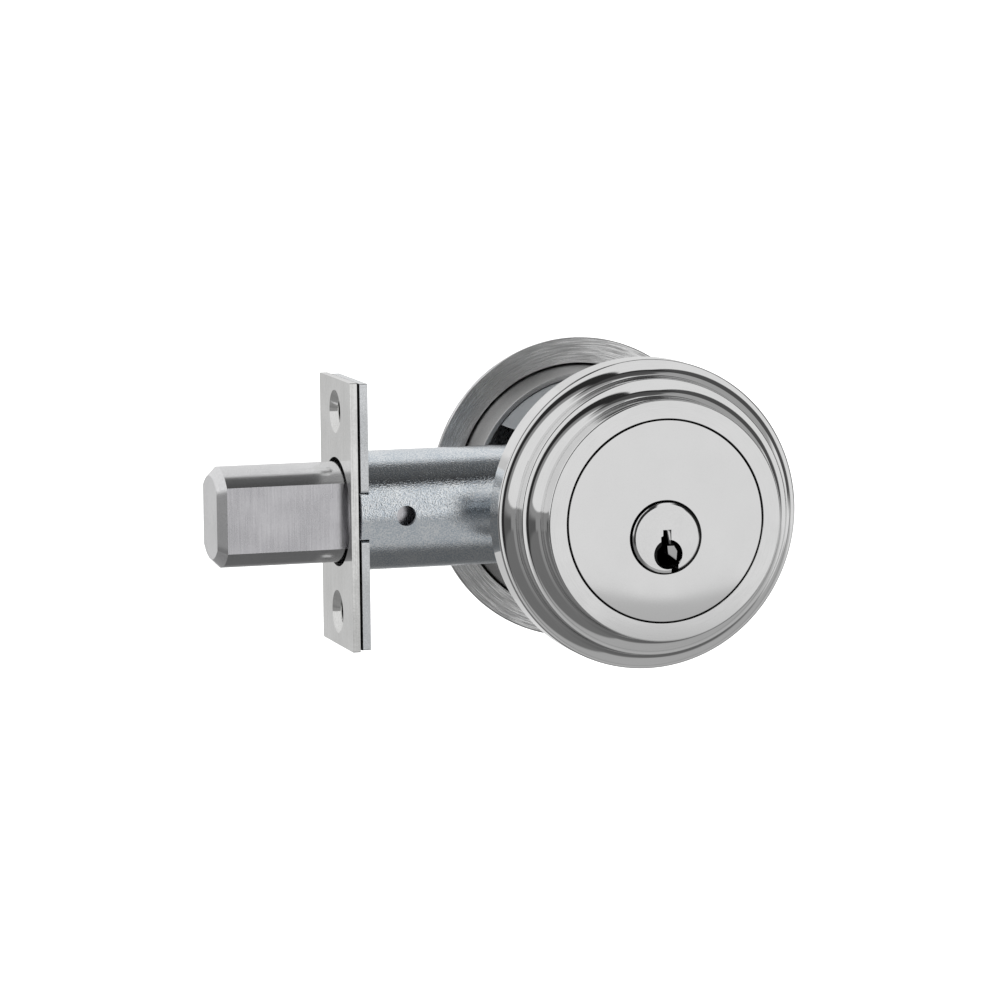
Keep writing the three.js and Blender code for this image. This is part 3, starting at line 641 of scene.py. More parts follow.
@dataclass(frozen=True)
class Finishes:
    """Every finish of the lock."""

    collar: Metal = Metal(
        "polished_collar", (0.80, 0.80, 0.80), (0.86, 0.86, 0.86), (0.035, 0.07), Lay.ROUND_Y, 0.2, 0.0002,
        # gloom paints shade on the collar's inner wall, in the gap round the cylinder's disc.
        gloom=(21.6, -40.6, -36.0),
    )
    face: Metal = Metal(
        "polished_face", (0.80, 0.80, 0.80), (0.84, 0.84, 0.84), (0.02, 0.05), Lay.NONE, 0.2, 0.0001,
        # gloom paints shade on the disc's side wall and in the plug's bore, below the face.
        grain_depth=0.0001, gloom=(22.0, -40.65, -34.8),
    )
    plug: Metal = Metal(
        "plug_nickel", (0.80, 0.80, 0.80), (0.86, 0.86, 0.86), (0.05, 0.09), Lay.ROUND_Y, 0.1, 0.0002,
        # gloom paints shade in the keyway, the key recess and the gap round the plug; rim paints a dark band
        # round the plug's edge on the side away from the bolt.
        centre_z=KEY_AXIS_Z, gloom=(6.7, -41.1, 0.0), rim=(7.02, 7.6),
    )
    plate: Metal = Metal(
        "satin_nickel", (0.74, 0.74, 0.73), (0.88, 0.88, 0.87), (0.06, 0.14), Lay.UP_Z, 0.2, 0.001,
        # joint paints shade on the back face, in the gap against the backing plate.
        grain=0.5, grain_depth=0.002, spread=0.14, joint=(-58.78, -58.6),
    )
    backing: Metal = Metal(
        "backing_zinc", (0.80, 0.82, 0.84), (0.92, 0.94, 0.96), (0.16, 0.26), Lay.NONE, 0.5, 0.002,
        # joint paints shade on the front face, in the gap against the faceplate.
        grain=0.3, grain_depth=0.006, joint=(-58.32, -58.02),
    )
    ground: Metal = Metal(
        "ground_steel", (0.80, 0.79, 0.825), (0.93, 0.92, 0.95), (0.2, 0.3), Lay.UP_Z, 0.22, 0.0022
    )
    drawn: Metal = Metal(
        "drawn_steel", (0.76, 0.76, 0.77), (0.9, 0.9, 0.91), (0.12, 0.2), Lay.ALONG_X, 0.2, 0.0015,
        grain=0.25, grain_depth=0.004, share=(0.3, 0.3, 0.4), spread=0.12,
    )
    zinc: Metal = Metal(
        "zinc_plate", (0.66, 0.73, 0.80), (0.95, 0.98, 1.0), (0.06, 0.14), Lay.NONE, 0.5, 0.004,
        grain=0.3, grain_depth=0.045, cloud=6.0, share=(0.2, 0.2, 0.6), spread=0.11,
    )
    dull: Metal = Metal(
        "dull_zinc", (0.88, 0.91, 0.94), (0.97, 0.99, 1.0), (0.3, 0.45), Lay.ROUND_Y, 0.3, 0.002,
        grain=0.4, grain_depth=0.004, metallic=0.0,
    )
    rose: Metal = Metal(
        "brushed_rose", (0.52, 0.52, 0.52), (0.98, 0.98, 0.98), (0.18, 0.4), Lay.ROUND_Y, 0.12, 0.006,
        share=(0.25, 0.65, 0.1), spread=0.13,
    )
    turn: Metal = Metal(
        "brushed_turn", (0.62, 0.62, 0.62), (0.94, 0.94, 0.94), (0.18, 0.34), Lay.ALONG_X, 0.12, 0.004,
        share=(0.25, 0.65, 0.1), spread=0.16,
    )
    cast: Metal = Metal(
        "cast_zinc", (0.5, 0.5, 0.5), (0.72, 0.72, 0.72), (0.34, 0.46), Lay.NONE, 0.3, 0.002,
        grain=0.2, grain_depth=0.004,
    )
    steel: Metal = Metal(
        "bright_steel", (0.5, 0.51, 0.52), (0.66, 0.67, 0.68), (0.22, 0.34), Lay.NONE, 0.2, 0.001
    )
    spring: Metal = Metal(
        "spring_steel", (0.34, 0.35, 0.36), (0.48, 0.49, 0.5), (0.24, 0.36), Lay.NONE, 0.2, 0.001
    )
    brass: Metal = Metal(
        "plain_brass", (0.66, 0.50, 0.24), (0.80, 0.64, 0.34), (0.22, 0.34), Lay.NONE, 0.25, 0.001
    )


class Workshop:
    """Turns surfaces into finished objects: one material per finish, one object per piece."""

    def __init__(self, frame: dict, finishes: Finishes) -> None:
        """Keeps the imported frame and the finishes, and starts with no materials made."""
        self.frame = frame
        self.finishes = finishes
        self.made: dict[str, bpy.types.Material] = {}
        self.slots = {s["node"]: s["material_slot"] for s in frame["record"]["subparts"]}
        self.homes = {
            node: body for body, nodes in frame["record"]["behaviour"]["bodies"].items() for node in nodes
        }

    def material(self, metal: Metal) -> bpy.types.Material:
        """The material of a finish, made on its first use."""
        if metal.name not in self.made:
            self.made[metal.name] = metal.made()
        return self.made[metal.name]

    def piece(
        self,
        node: str,
        surface: Surface,
        metal: Metal,
        bevel: float = 0.0,
        sharp_degrees: float = 32.0,
        flats: Metal | None = None,
    ) -> bpy.types.Object:
        """Makes the fine piece that stands for a node.

        Args:
            node: The node's name; the piece is named after it, rides on its body and hides it.
            surface: The shape, in millimetres.
            metal: The finish.
            bevel: Width of rounding along sharp edges in millimetres, or 0 for none.
            sharp_degrees: Edges that turn more than this stay sharp in the shading.
            flats: Another finish for the faces that look straight along Y.

        Returns:
            The finished object.
        """
        mesh = bpy.data.meshes.new(f"{node}_fine")
        mesh.from_pydata((surface.vertices * MM).tolist(), [], surface.faces)
        tidy = bmesh.new()
        tidy.from_mesh(mesh)
        bmesh.ops.remove_doubles(tidy, verts=tidy.verts, dist=0.001 * MM)
        bmesh.ops.recalc_face_normals(tidy, faces=tidy.faces)
        tidy.to_mesh(mesh)
        tidy.free()
        mesh.shade_smooth()
        mesh.set_sharp_from_angle(angle=math.radians(sharp_degrees))
        mesh.materials.append(self.material(metal))
        if flats:
            mesh.materials.append(self.material(flats))
            normals = np.empty(len(mesh.polygons) * 3)
            mesh.polygons.foreach_get("normal", normals)
            ground = np.abs(normals.reshape(-1, 3)[:, 1]) > 0.999
            mesh.polygons.foreach_set("material_index", ground.astype(np.int32))
        thing = bpy.data.objects.new(f"{node}_fine", mesh)
        bpy.context.scene.collection.objects.link(thing)
        if bevel > 0:
            edge = thing.modifiers.new("edge", "BEVEL")
            edge.width = bevel * MM
            edge.segments = 2
            edge.limit_method = "ANGLE"
            edge.angle_limit = math.radians(sharp_degrees)
        flat = thing.modifiers.new("flats", "WEIGHTED_NORMAL")
        flat.keep_sharp = True
        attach(thing, self.homes[node])
        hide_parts(node)
        LOG.info("%s: %d faces on %s", thing.name, len(mesh.polygons), self.homes[node])
        return thing

    def dress(self, node: str, metal: Metal) -> None:
        """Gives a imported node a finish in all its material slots."""
        thing = self.frame["nodes"][node]
        for slot in thing.material_slots:
            slot.material = self.material(metal)
        LOG.info("%s: dressed in %s", node, metal.name)


# ---- Outside trim -------------------------------------------------------------------------------


@dataclass
class OutsideTrim:
    """The stepped collar, the cylinder with its plug, and what holds them."""

    front: float = -40.77
    back: float = -22.3
    rims: tuple[float, float, float] = (25.44, 29.24, 32.84)
    ledges: tuple[float, float] = (-33.65, -28.43)
    hollow: tuple[float, float] = (3.0, 2.7)
    chamfer: tuple[float, float] = (0.32, 0.05)
    disc: float = 21.17
    axis_z: float = KEY_AXIS_Z
    post_z: float = LONG_SCREW_Z

    def cove(self, wall: float, ledge: float, steps: int = 16) -> list[Corner]:
        """The hollow between a wall and the ledge at its foot, from the wall outwards.

        It is a quarter of an ellipse: at angle a the radius is the wall's plus wide * (1 - sin a), and the
        depth is the ledge's less tall * (1 - cos a), with a from 90 degrees at the wall to 0 at the ledge.
        """
        wide, tall = self.hollow
        angles = np.linspace(TURN / 4, 0.0, steps)
        return [(wall + wide * (1 - math.sin(a)), ledge - tall * (1 - math.cos(a)), 0.0) for a in angles]

    def edge(self, radius: float, face: float) -> list[Corner]:
        """The outer edge of a flat face: a shallow chamfer, then a small rounding."""
        wide, deep = self.chamfer
        return [(radius - wide, face, 0.12), (radius, face + deep, 0.28)]

    def collar(self) -> Surface:
        """The collar's profile: two walls with hollows at their feet, and narrow flat ledges."""
        first, second, rim = self.rims
        upper, lower = self.ledges
        corners = [
            (21.5, self.front, 0.1),
            *self.edge(first, self.front),
            *self.cove(first, upper),
            *self.edge(second, upper),
            *self.cove(second, lower),
            *self.edge(rim, lower),
            (rim, self.back, 0.3),
            (24.0, self.back, 0.25),
            (24.0, -30.3, 0.1),
            (25.1, -30.3, 0.1),
            (25.1, -31.7, 0.1),
            (24.0, -31.7, 0.1),
            (24.0, -36.6, 0.3),
            (21.5, -36.6, 0.15),
        ]
        return revolve(rounded(corners, closed=True, steps=8), segments=288)

    def barrel_outline(self, count: int) -> Loop:
        """The barrel and its pin tower seen end on.

        At each angle from the bolt axis, the farther of two distances: to the barrel's circle, whose
        centre is dropped to the plug axis, and to the tower's rectangle above the axis.
        """
        angle = np.linspace(0.0, TURN, count, endpoint=False)
        c, s = np.cos(angle), np.sin(angle)
        along = s * self.axis_z
        barrel = along + np.sqrt(along**2 - self.axis_z**2 + 10.2**2)
        side = 4.4 / np.maximum(np.abs(c), 1e-6)
        top = np.where(s > 0, 15.0 / np.maximum(s, 1e-6), 0.0)
        reach = np.maximum(barrel, np.minimum(side, top))
        return np.stack([reach * c, reach * s], axis=-1)

    def cylinder(self) -> Surface:
        """The cylinder: face disc with the plug's hole, flange, barrel and tower in one closed shell."""
        count = 240
        axis = (0.0, self.axis_z)
        barrel = self.barrel_outline(count)
        body = [
            (circle(self.disc - 0.14, count=count), self.front),
            (circle(self.disc - 0.04, count=count), self.front + 0.04),
            (circle(self.disc, count=count), self.front + 0.14),
            (circle(self.disc, count=count), -36.3),
            (circle(23.5, count=count), -36.3),
            (circle(23.5, count=count), -34.4),
            (barrel, -34.4),
            (barrel, -13.9),
        ]
        bore = [
            (circle(7.9, axis, count), self.front),
            (circle(7.83, axis, count), self.front + 0.03),
            (circle(7.8, axis, count), self.front + 0.1),
            (circle(7.8, axis, count), -37.27),
            (circle(6.75, axis, count), -37.27),
            (circle(6.75, axis, count), -13.9),
        ]
        return slab(body, [bore])

    def keyway(self) -> Loop:
        """The warded slot for the key: its centre line wanders as it goes down past the wards."""
        return np.array(
            [
                (-0.85, 1.7), (-0.85, 0.45), (-1.3, 0.2), (-1.3, -0.75), (-0.45, -1.0), (-0.45, -1.9),
                (-1.5, -3.0), (-1.5, -4.9), (-0.9, -5.9), (0.9, -6.3), (0.95, -8.5), (2.45, -8.5),
                (2.45, -5.0), (0.2, -3.4), (0.2, -2.6), (0.95, -2.0), (0.95, 1.7),
            ]
        ) + (0.0, self.axis_z)

    def ward(self, outline: Sequence[tuple[float, float]], front: float, slope: Corner) -> Surface:
        """A ward that stands in the keyway, with a flat front that leans.

        Args:
            outline: Its outline about the plug's axis.
            front: Depth of the front at the outline's first point.
            slope: How much deeper the front gets for each millimetre across and up, and its back's depth.

        Returns:
            The closed ward.
        """
        loop = np.array(outline) + (0.0, self.axis_z)
        shape = plate(loop, (0.0, 1.0))
        offset = shape.vertices[:, [0, 2]] - loop[0]
        leaning = front + offset @ np.array(slope[:2])
        depth = np.where(shape.vertices[:, 1] < 0.5, leaning, slope[2])
        return Surface(np.column_stack([shape.vertices[:, 0], depth, shape.vertices[:, 2]]), shape.faces)

    def plug(self) -> Surface:
        """The plug: a face with a crisp edge, a deep round key recess, the keyway and the wards in it."""
        axis = (0.0, self.axis_z)
        corners = [
            (0, -41.7, 0),
            (6.85, -41.7, 0),
            (7.15, -41.64, 0),
            (7.45, -41.56, 0.2),
            (7.45, -37.6, 0.1),
            (6.4, -37.6, 0.05),
            (6.4, -13.7, 0.2),
            (0, -13.7, 0),
        ]
        body = revolve(rounded(corners, steps=4), Along.Y, axis, 160, closed=False)
        centre = (0.25, self.axis_z - 3.5)
        bowl = [
            (0, -43.0, 0), (3.12, -43.0, 0), (3.12, -41.6, 0), (2.95, -41.2, 0), (2.8, -39.6, 0.4),
            (0, -39.3, 0),
        ]
        recess = revolve(rounded(bowl, steps=4), Along.Y, centre, 72, closed=False)
        cut = carved(body, recess, plate(self.keyway(), (-43.0, -12.0)))
        broad = [(0.2, -1.75), (1.6, -1.75), (2.3, -2.9), (2.2, -4.85), (0.45, -3.5)]
        narrow = [(0.1, 1.66), (0.9, 1.66), (0.9, -1.3), (0.45, -1.3)]
        return cut.joined(
            self.ward(broad, -41.25, (-0.1, -0.14, -39.2)),
            self.ward(narrow, -41.1, (0.25, 0.2, -38.0)),
        )

    def build(self, shop: Workshop) -> None:
        """Makes and dresses every piece of the outside trim."""
        f = shop.finishes
        axis = (0.0, self.axis_z)
        shop.piece("exterior_collar", self.collar(), f.collar)
        shop.piece("cylinder_body", self.cylinder(), f.face)
        shop.piece("cylinder_plug", self.plug(), f.plug, bevel=0.04, sharp_degrees=7.0)
        hole = self.barrel_outline(160) * 1.045
        shop.piece("support_plate", plate(circle(23.6), (-34.1, -31.8), [hole]), f.dull, bevel=0.2)
        shop.piece("collar_snap_ring", hoop(22.8, 24.8, (-31.5, -30.5)), f.spring)
        for i, z in enumerate((self.post_z, -self.post_z), 1):
            post = [
                (2.25, -15.2, 0.15), (2.9, -15.2, 0.25), (2.9, -31.5, 0.1), (0, -31.5, 0), (0, -28.5, 0),
                (2.25, -28.5, 0),
            ]
            shape = revolve(rounded(post, closed=True, steps=3), Along.Y, (0.0, z), 48)
            shop.piece(f"mounting_post_{i}", shape, f.steel)
        shop.piece("chamber_cover", box((-4.2, -33.3, 15.1), (4.2, -14.2, 15.8)), f.brass, bevel=0.1)
        for i in range(1, 7):
            shop.dress(f"key_pin_{i}", f.brass)
            shop.dress(f"driver_pin_{i}", f.steel)
            shop.dress(f"driver_spring_{i}", f.spring)
        shop.dress("sidebar", f.steel)
        shop.dress("sidebar_spring_1", f.spring)
        shop.dress("sidebar_spring_2", f.spring)
        shop.piece("plug_cam", hoop(2.2, 7.4, (-13.4, -12.6), axis).joined(
            lug(135.0, (-12.7, -11.9), self.axis_z)), f.brass)


def lug(degrees: float, depth: tuple[float, float], axis_z: float) -> Surface:
    """A short ring sector about the plug's axis.

    Args:
        degrees: Where its middle is, from +X towards +Z.
        depth: Where its two flat faces are.
        axis_z: Height of the axis.

    Returns:
        The closed sector.
    """
    sweep = np.radians(np.linspace(degrees - 18, degrees + 18, 13))
    outer = np.column_stack([np.cos(sweep), np.sin(sweep)]) * 6.9
    inner = np.column_stack([np.cos(sweep), np.sin(sweep)])[::-1] * 3.4
    return plate(np.vstack([outer, inner]) + (0.0, axis_z), depth)


# ---- Bolt in the door edge ----------------------------------------------------------------------


def tail_slot(low: float, high: float) -> Surface:
    """The slot for the tailpiece, between two depths, used to cut the hub and the spindle."""
    return box((-3.35, low, -1.25), (3.35, high, 1.25))


def rectangle(half_u: float, half_v: float, corner: float = 0.0) -> Loop:
    """A rectangle about the origin with round corners."""
    corners = [
        (-half_u, -half_v, corner), (half_u, -half_v, corner),
        (half_u, half_v, corner), (-half_u, half_v, corner),
    ]
    return rounded(corners, closed=True, steps=4)


def flatted(radius: float, flat: float, closed_arcs: int = 40) -> Loop:
    """A circle with two upright flats, each at the same distance from the middle.

    Args:
        radius: The circle's radius.
        flat: Distance of each flat.
        closed_arcs: Steps in each of the two arcs.

    Returns:
        The loop as (across, up) points, with sharp corners where arcs meet flats.
    """
    half = math.acos(flat / radius)
    top = np.linspace(half, math.pi - half, closed_arcs + 1)
    rise = np.linspace(1.0, -1.0, 9)[1:-1] * radius * math.sin(half)
    arc = np.column_stack([np.cos(top), np.sin(top)]) * radius
    left = np.column_stack([np.full(7, -flat), rise])
    return np.vstack([arc, left, -arc, -left])


@dataclass
class EdgeWork:
    """The faceplate, the backing plate, the sleeve, the bolt and the links that draw it."""

    front: float = -60.35
    thickness: float = 1.62
    screw_z: float = 21.43
    bolt_tip: float = -87.87
    bolt_back: float = -42.0
    radius: float = 10.75
    flat: float = 8.17
    chamfer: float = 1.85
    hub_z: float = KEY_AXIS_Z
    crank: float = 18.9
    link_pin: tuple[float, float] = (-46.1, 7.0)
    sleeve_rivet: tuple[float, float] = (-26.0, 0.0)

    def faceplate(self) -> Surface:
        """The faceplate with its round bolt hole and two countersunk screw holes."""
        back = self.front + self.thickness
        holes = [[(circle(11.65), self.front), (circle(11.65), back)]]
        for z in (-self.screw_z, self.screw_z):
            centre = (0.0, z)
            holes.append(
                [
                    (circle(4.6, centre, 72), self.front),
                    (circle(3.0, centre, 72), back - 0.25),
                    (circle(2.95, centre, 72), back),
                ]
            )
        outline = rectangle(12.7, 28.575, 0.25)
        return slab([(outline, self.front), (outline, back)], holes, Along.X)

    def backing(self) -> Surface:
        """The backing plate: flatted hole, screw holes, and a notch in each long edge."""
        corners = [
            (-12.0, -28.3, 0.3), (12.0, -28.3, 0.3), (12.0, -5.1, 0.6), (10.4, -5.1, 0.3),
            (10.4, 5.1, 0.3), (12.0, 5.1, 0.6), (12.0, 28.3, 0.3), (-12.0, 28.3, 0.3),
            (-12.0, 5.1, 0.6), (-10.4, 5.1, 0.3), (-10.4, -5.1, 0.3), (-12.0, -5.1, 0.6),
        ]
        outline = rounded(corners, closed=True, steps=4)
        holes = [flatted(11.1, 8.5)] + [circle(2.4, (0.0, z), 48) for z in (-self.screw_z, self.screw_z)]
        return plate(outline, (-58.28, -56.28), holes, Along.X)

    def sleeve(self) -> Surface:
        """The sleeve: a thin tube with two tongues in front, a sight hole and two rivet holes."""
        rows = np.linspace(-58.0, -20.0, 20)[1:-1]
        profile = np.vstack(
            [
                [(11.7, -58.0), (12.7, -58.0)],
                np.column_stack([np.full(18, 12.7), rows]),
                [(12.7, -20.12), (12.58, -20.0), (11.7, -20.0)],
                np.column_stack([np.full(18, 11.7), rows[::-1]]),
            ]
        )
        tube = revolve(profile, Along.X, segments=240)
        return carved(
            tube,
            box((-59.0, -14.0, 4.75), (-56.23, 14.0, 14.0)),
            box((-59.0, -14.0, -14.0), (-56.23, 14.0, -4.75)),
            rod(2.15, (-14.0, -10.0), centre=(-48.3, 0.0), edge=0.0),
            rod(1.8, (-14.0, 14.0), centre=self.sleeve_rivet, edge=0.0),
        )

    def bolt(self) -> Surface:
        """The bolt: round with two flats, chamfered at the tip, bored and slotted at the back."""
        tip, straight = self.bolt_tip, self.bolt_tip + self.chamfer
        nose = flatted(self.radius - self.chamfer, self.flat - self.chamfer)
        full = flatted(self.radius, self.flat)
        stack = [(nose, tip), (full, straight)]
        stack += [(full, float(x)) for x in np.linspace(straight + 2.0, self.bolt_back, 14)]
        bar = slab(stack, (), Along.X)
        return carved(
            bar,
            rod(3.3, (-81.0, -40.0), Along.X, edge=0.0),
            box((-50.6, 2.35, -4.5), (-40.0, 4.85, 12.0)),
            box((-50.6, -4.85, -4.5), (-40.0, -2.35, 12.0)),
            rod(1.6, (-12.0, 12.0), centre=self.link_pin, edge=0.0),
        )

    def link(self, side: int) -> Surface:
        """A link plate: a head in the bolt, a straight arm, and a fork open at the top."""
        x = -self.crank * math.sqrt(0.5)
        corners = [
            (-50.2, -4.0, 0.5), (-46.6, -4.0, 0.5), (-46.6, 4.6, 1.5), (x + 5.2, 4.6, 1.5),
            (x + 5.2, 16.5, 1.0), (x + 2.6, 16.5, 0.4), (x + 2.6, 7.0, 2.4), (x - 2.6, 7.0, 2.4),
            (x - 2.6, 16.5, 0.4), (x - 5.4, 16.5, 1.0), (x - 5.4, 9.4, 2.0), (-50.2, 9.4, 1.0),
        ]
        outline = rounded(corners, closed=True, steps=6)
        depth = tuple(sorted((side * 2.6, side * 4.6)))
        return plate(outline, depth, [circle(1.6, self.link_pin, 40)])

    def side_plate(self, side: int) -> Surface:
        """A side plate: a tongue in the sleeve and a broad part with the hub's bearing hole."""
        corners = [
            (-34, -4, 0.8), (-19.5, -4, 1.0), (-19.5, -12.5, 1.0), (19.4, -12.5, 3), (23.4, -8.5, 3),
            (23.4, 8.5, 3), (19.4, 12.5, 3), (-19.5, 12.5, 1.0), (-19.5, 4, 1.0), (-34, 4, 0.8),
        ]
        holes = [circle(5.25, (0.0, self.hub_z), 72), circle(1.8, self.sleeve_rivet, 40)]
        holes += [circle(1.8, place, 40) for place in self.rivets()]
        depth = tuple(sorted((side * 9.0, side * 10.4)))
        return plate(rounded(corners, closed=True, steps=5), depth, holes)

    def rivets(self) -> list[tuple[float, float]]:
        """Where the three frame rivets stand, as (x, z)."""
        return [(-12.0, -9.6), (17.0, -9.6), (21.2, 7.6)]

    def hub(self) -> Surface:
        """The hub with its journals, crank arm and crank pin, slotted for the tailpiece."""
        corners = [
            (0, -10.8, 0), (4.9, -10.8, 0.3), (4.9, -8.7, 0.1), (6.4, -8.7, 0.4),
            (6.4, 8.7, 0.4), (4.9, 8.7, 0.1), (4.9, 10.8, 0.3), (0, 10.8, 0),
        ]
        barrel = revolve(rounded(corners, steps=3), segments=96, closed=False)
        arm = [(-2.4, 4.0, 0), (2.4, 4.0, 0), (2.4, self.crank + 2.2, 2.2), (-2.4, self.crank + 2.2, 2.2)]
        crank = plate(rounded(arm, closed=True, steps=8), (-2.0, 2.0))
        pin = rod(1.6, (-5.2, 5.2), centre=(0.0, self.crank))
        return carved(barrel, tail_slot(-20.0, 20.0)).joined(crank, pin)

    def build(self, shop: Workshop) -> None:
        """Makes and dresses every piece in the door edge and round the hub."""
        f = shop.finishes
        shop.piece("faceplate", self.faceplate(), f.plate, bevel=0.12)
        shop.piece("backing_plate", self.backing(), f.backing, bevel=0.2)
        shop.piece("bolt_sleeve", self.sleeve(), f.zinc)
        shop.piece("bolt", self.bolt(), f.drawn, bevel=0.14, flats=f.ground)
        shop.dress("saw_roller", f.steel)
        for side, name in ((-1, "near"), (1, "far")):
            shop.piece(f"link_plate_{name}", self.link(side), f.zinc, bevel=0.15)
            shop.piece(f"side_plate_{name}", self.side_plate(side), f.zinc, bevel=0.15)
        shop.piece("link_pin", rod(1.3, (-7.8, 7.8), centre=self.link_pin), f.steel)
        for i, side in enumerate((-1, 1), 1):
            depth = tuple(sorted((side * 8.6, side * 12.55)))
            shop.piece(f"sleeve_rivet_{i}", rod(1.5, depth, centre=self.sleeve_rivet), f.steel)
        for i, place in enumerate(self.rivets(), 1):
            shop.piece(f"frame_rivet_{i}", rod(1.5, (-11.0, 11.0), centre=place, edge=0.4), f.steel)
        shop.dress("detent_spring", f.spring)
        hub = self.hub().turned_about_y(-45.0).moved(0.0, 0.0, self.hub_z)
        shop.piece("hub_cam", hub, f.cast, bevel=0.15)


# ---- Inside trim --------------------------------------------------------------------------------


@dataclass
class InsideTrim:
    """The rose with its ring and plate, the long screws, and the thumb turn on its spindle."""

    seat: float = 22.3
    radius: float = 33.0
    axis_z: float = KEY_AXIS_Z
    screw_z: float = LONG_SCREW_Z
    grub: tuple[float, float] = (0.0, 24.2)

    def rose(self) -> Surface:
        """The domed rose, hollow on the door side, with holes for the spindle and the grub screw."""
        corners = [
            (0, 32.3, 0), (12.0, 32.3, 0), (22.0, 31.7, 14), (30.4, 26.6, 8), (self.radius, 23.4, 0.5),
            (self.radius, self.seat, 0.35), (27.4, self.seat, 0.15), (27.4, 26.2, 1.0), (25.0, 28.2, 1.5),
            (20.5, 29.6, 2.0), (0, 29.9, 0),
        ]
        dome = revolve(rounded(corners, steps=8), segments=240, closed=False)
        return carved(
            dome,
            rod(5.4, (25.0, 40.0), centre=(0.0, self.axis_z), edge=0.0),
            rod(1.5, (-34.0, -26.0), Along.Z, self.grub, edge=0.0),
        )

    def ring(self) -> Surface:
        """The tapered locating ring."""
        corners = [
            (25.3, 13.3, 0.12), (26.3, 13.3, 0.2), (26.95, 21.7, 2.0), (26.95, 25.4, 0.6),
            (25.85, 27.0, 0.3), (25.3, 27.0, 0.2),
        ]
        return revolve(rounded(corners, closed=True, steps=5), segments=240)

    def mounting_plate(self) -> Surface:
        """The plate inside the ring, cut away beside the sleeve."""
        holes = [circle(6.0, (0.0, self.axis_z), 72)]
        holes += [circle(2.3, (0.0, z), 40) for z in (-self.screw_z, self.screw_z)]
        whole = plate(circle(24.9, count=180), (13.8, 15.6), holes)
        window = np.array([(-30, -14.5), (-14.5, -12.6), (-14.5, 13.4), (-30, 19.5)], float)
        return carved(whole, plate(window, (13.0, 18.0)))

    def long_screw(self) -> Surface:
        """A threaded screw with a slotted pan head on the room side."""
        seat, top = 15.9, 18.1
        corners = [(0, seat, 0), (3.6, seat, 0.2), (3.6, top, 0.9), (0, top, 0)]
        head = revolve(rounded(corners, steps=6), segments=64, closed=False)
        slot = box((-0.5, top - 1.0, -5.0), (0.5, top + 1.0, 5.0))
        return carved(head, slot).joined(threaded(1.9, (-26.0, seat + 0.3), 0.79))

    def spindle(self) -> Surface:
        """The spindle, slotted for the tailpiece."""
        bar = rod(5.0, (17.6, 36.8), edge=0.3)
        return carved(bar, tail_slot(16.0, 27.8))

    def wing(self) -> Surface:
        """The wing of the thumb turn.

        Each section across it is a superellipse. Its half length grows from the foot and is drawn in
        at the crown as a quarter ellipse, and its half thickness is waisted in the middle.
        """
        over = 1 - 0.2 * np.cos(np.linspace(0, 1.5, 12))[1:]
        rise = np.concatenate([[0.0], np.linspace(0.04, 0.8, 16), over])
        y = 36.6 + rise * 15.9
        crown = np.sqrt(np.clip(1 - np.clip((rise - 0.72) / 0.28, 0, 1) ** 2.4, 0, 1))
        foot = np.clip(rise / 0.22, 0, 1) ** 0.6
        half_x = (11.0 + 7.0 * foot) * (0.35 + 0.65 * crown)
        half_z = (4.1 - 0.9 * np.sin(np.pi * np.clip(rise * 1.15, 0, 1))) * (0.12 + 0.88 * crown)
        angle = np.linspace(0.0, TURN, 96, endpoint=False)[None, :]
        c, s = np.cos(angle), np.sin(angle)
        x = half_x[:, None] * np.sign(c) * np.abs(c) ** 0.75
        z = half_z[:, None] * np.sign(s) * np.abs(s) ** 0.55
        stack = [(np.column_stack([x[i], z[i]]), float(y[i])) for i in range(len(y))]
        return slab(stack)

    def thumb_turn(self) -> Surface:
        """The thumb turn: a round foot with a hollow shoulder, and the wing."""
        corners = [
            (0, 33.8, 0), (10.4, 33.8, 0.3), (10.4, 35.2, 0.5), (7.6, 36.1, 1.2), (5.4, 38.6, 1.0),
            (0, 38.6, 0),
        ]
        foot = revolve(rounded(corners, steps=6), segments=144, closed=False)
        return foot.joined(self.wing()).moved(0.0, 0.0, self.axis_z)

    def build(self, shop: Workshop) -> None:
        """Makes and dresses every piece of the inside trim."""
        f = shop.finishes
        axis = (0.0, self.axis_z)
        shop.piece("interior_rose", self.rose(), f.rose)
        shop.piece("locating_ring", self.ring(), f.cast)
        shop.piece("mounting_plate", self.mounting_plate(), f.dull, bevel=0.15)
        for i, z in enumerate((self.screw_z, -self.screw_z), 1):
            shop.piece(f"mounting_screw_{i}", self.long_screw().moved(0.0, 0.0, z), f.steel)
        socket = plate(circle(0.6, self.grub, 6), (-34.0, -30.0), along=Along.Z)
        screw = carved(rod(1.2, (-31.3, -27.4), Along.Z, self.grub), socket)
        shop.piece("rose_set_screw", screw, f.steel)
        shop.piece("turn_spindle", self.spindle().moved(0.0, 0.0, self.axis_z), f.steel, bevel=0.1)
        shop.piece("spindle_clip", hoop(5.2, 7.4, (28.3, 29.4), axis), f.spring)
        shop.piece("turn_washer", hoop(5.4, 9.6, (32.7, 33.4), axis), f.spring)
        shop.piece("thumb_turn", self.thumb_turn(), f.turn)
        blade = box((-3.0, -10.7, -0.9), (3.0, 26.8, 0.9)).moved(0.0, 0.0, self.axis_z)
        shop.piece("tailpiece", blade, f.brass, bevel=0.12)
        driver = rod(7.0, (-11.6, -11.0), centre=axis, edge=0.1)
        shop.piece("tailpiece_driver", driver.joined(lug(0.0, (-12.4, -11.5), self.axis_z)), f.brass)


# ---- Stage --------------------------------------------------------------------------------------


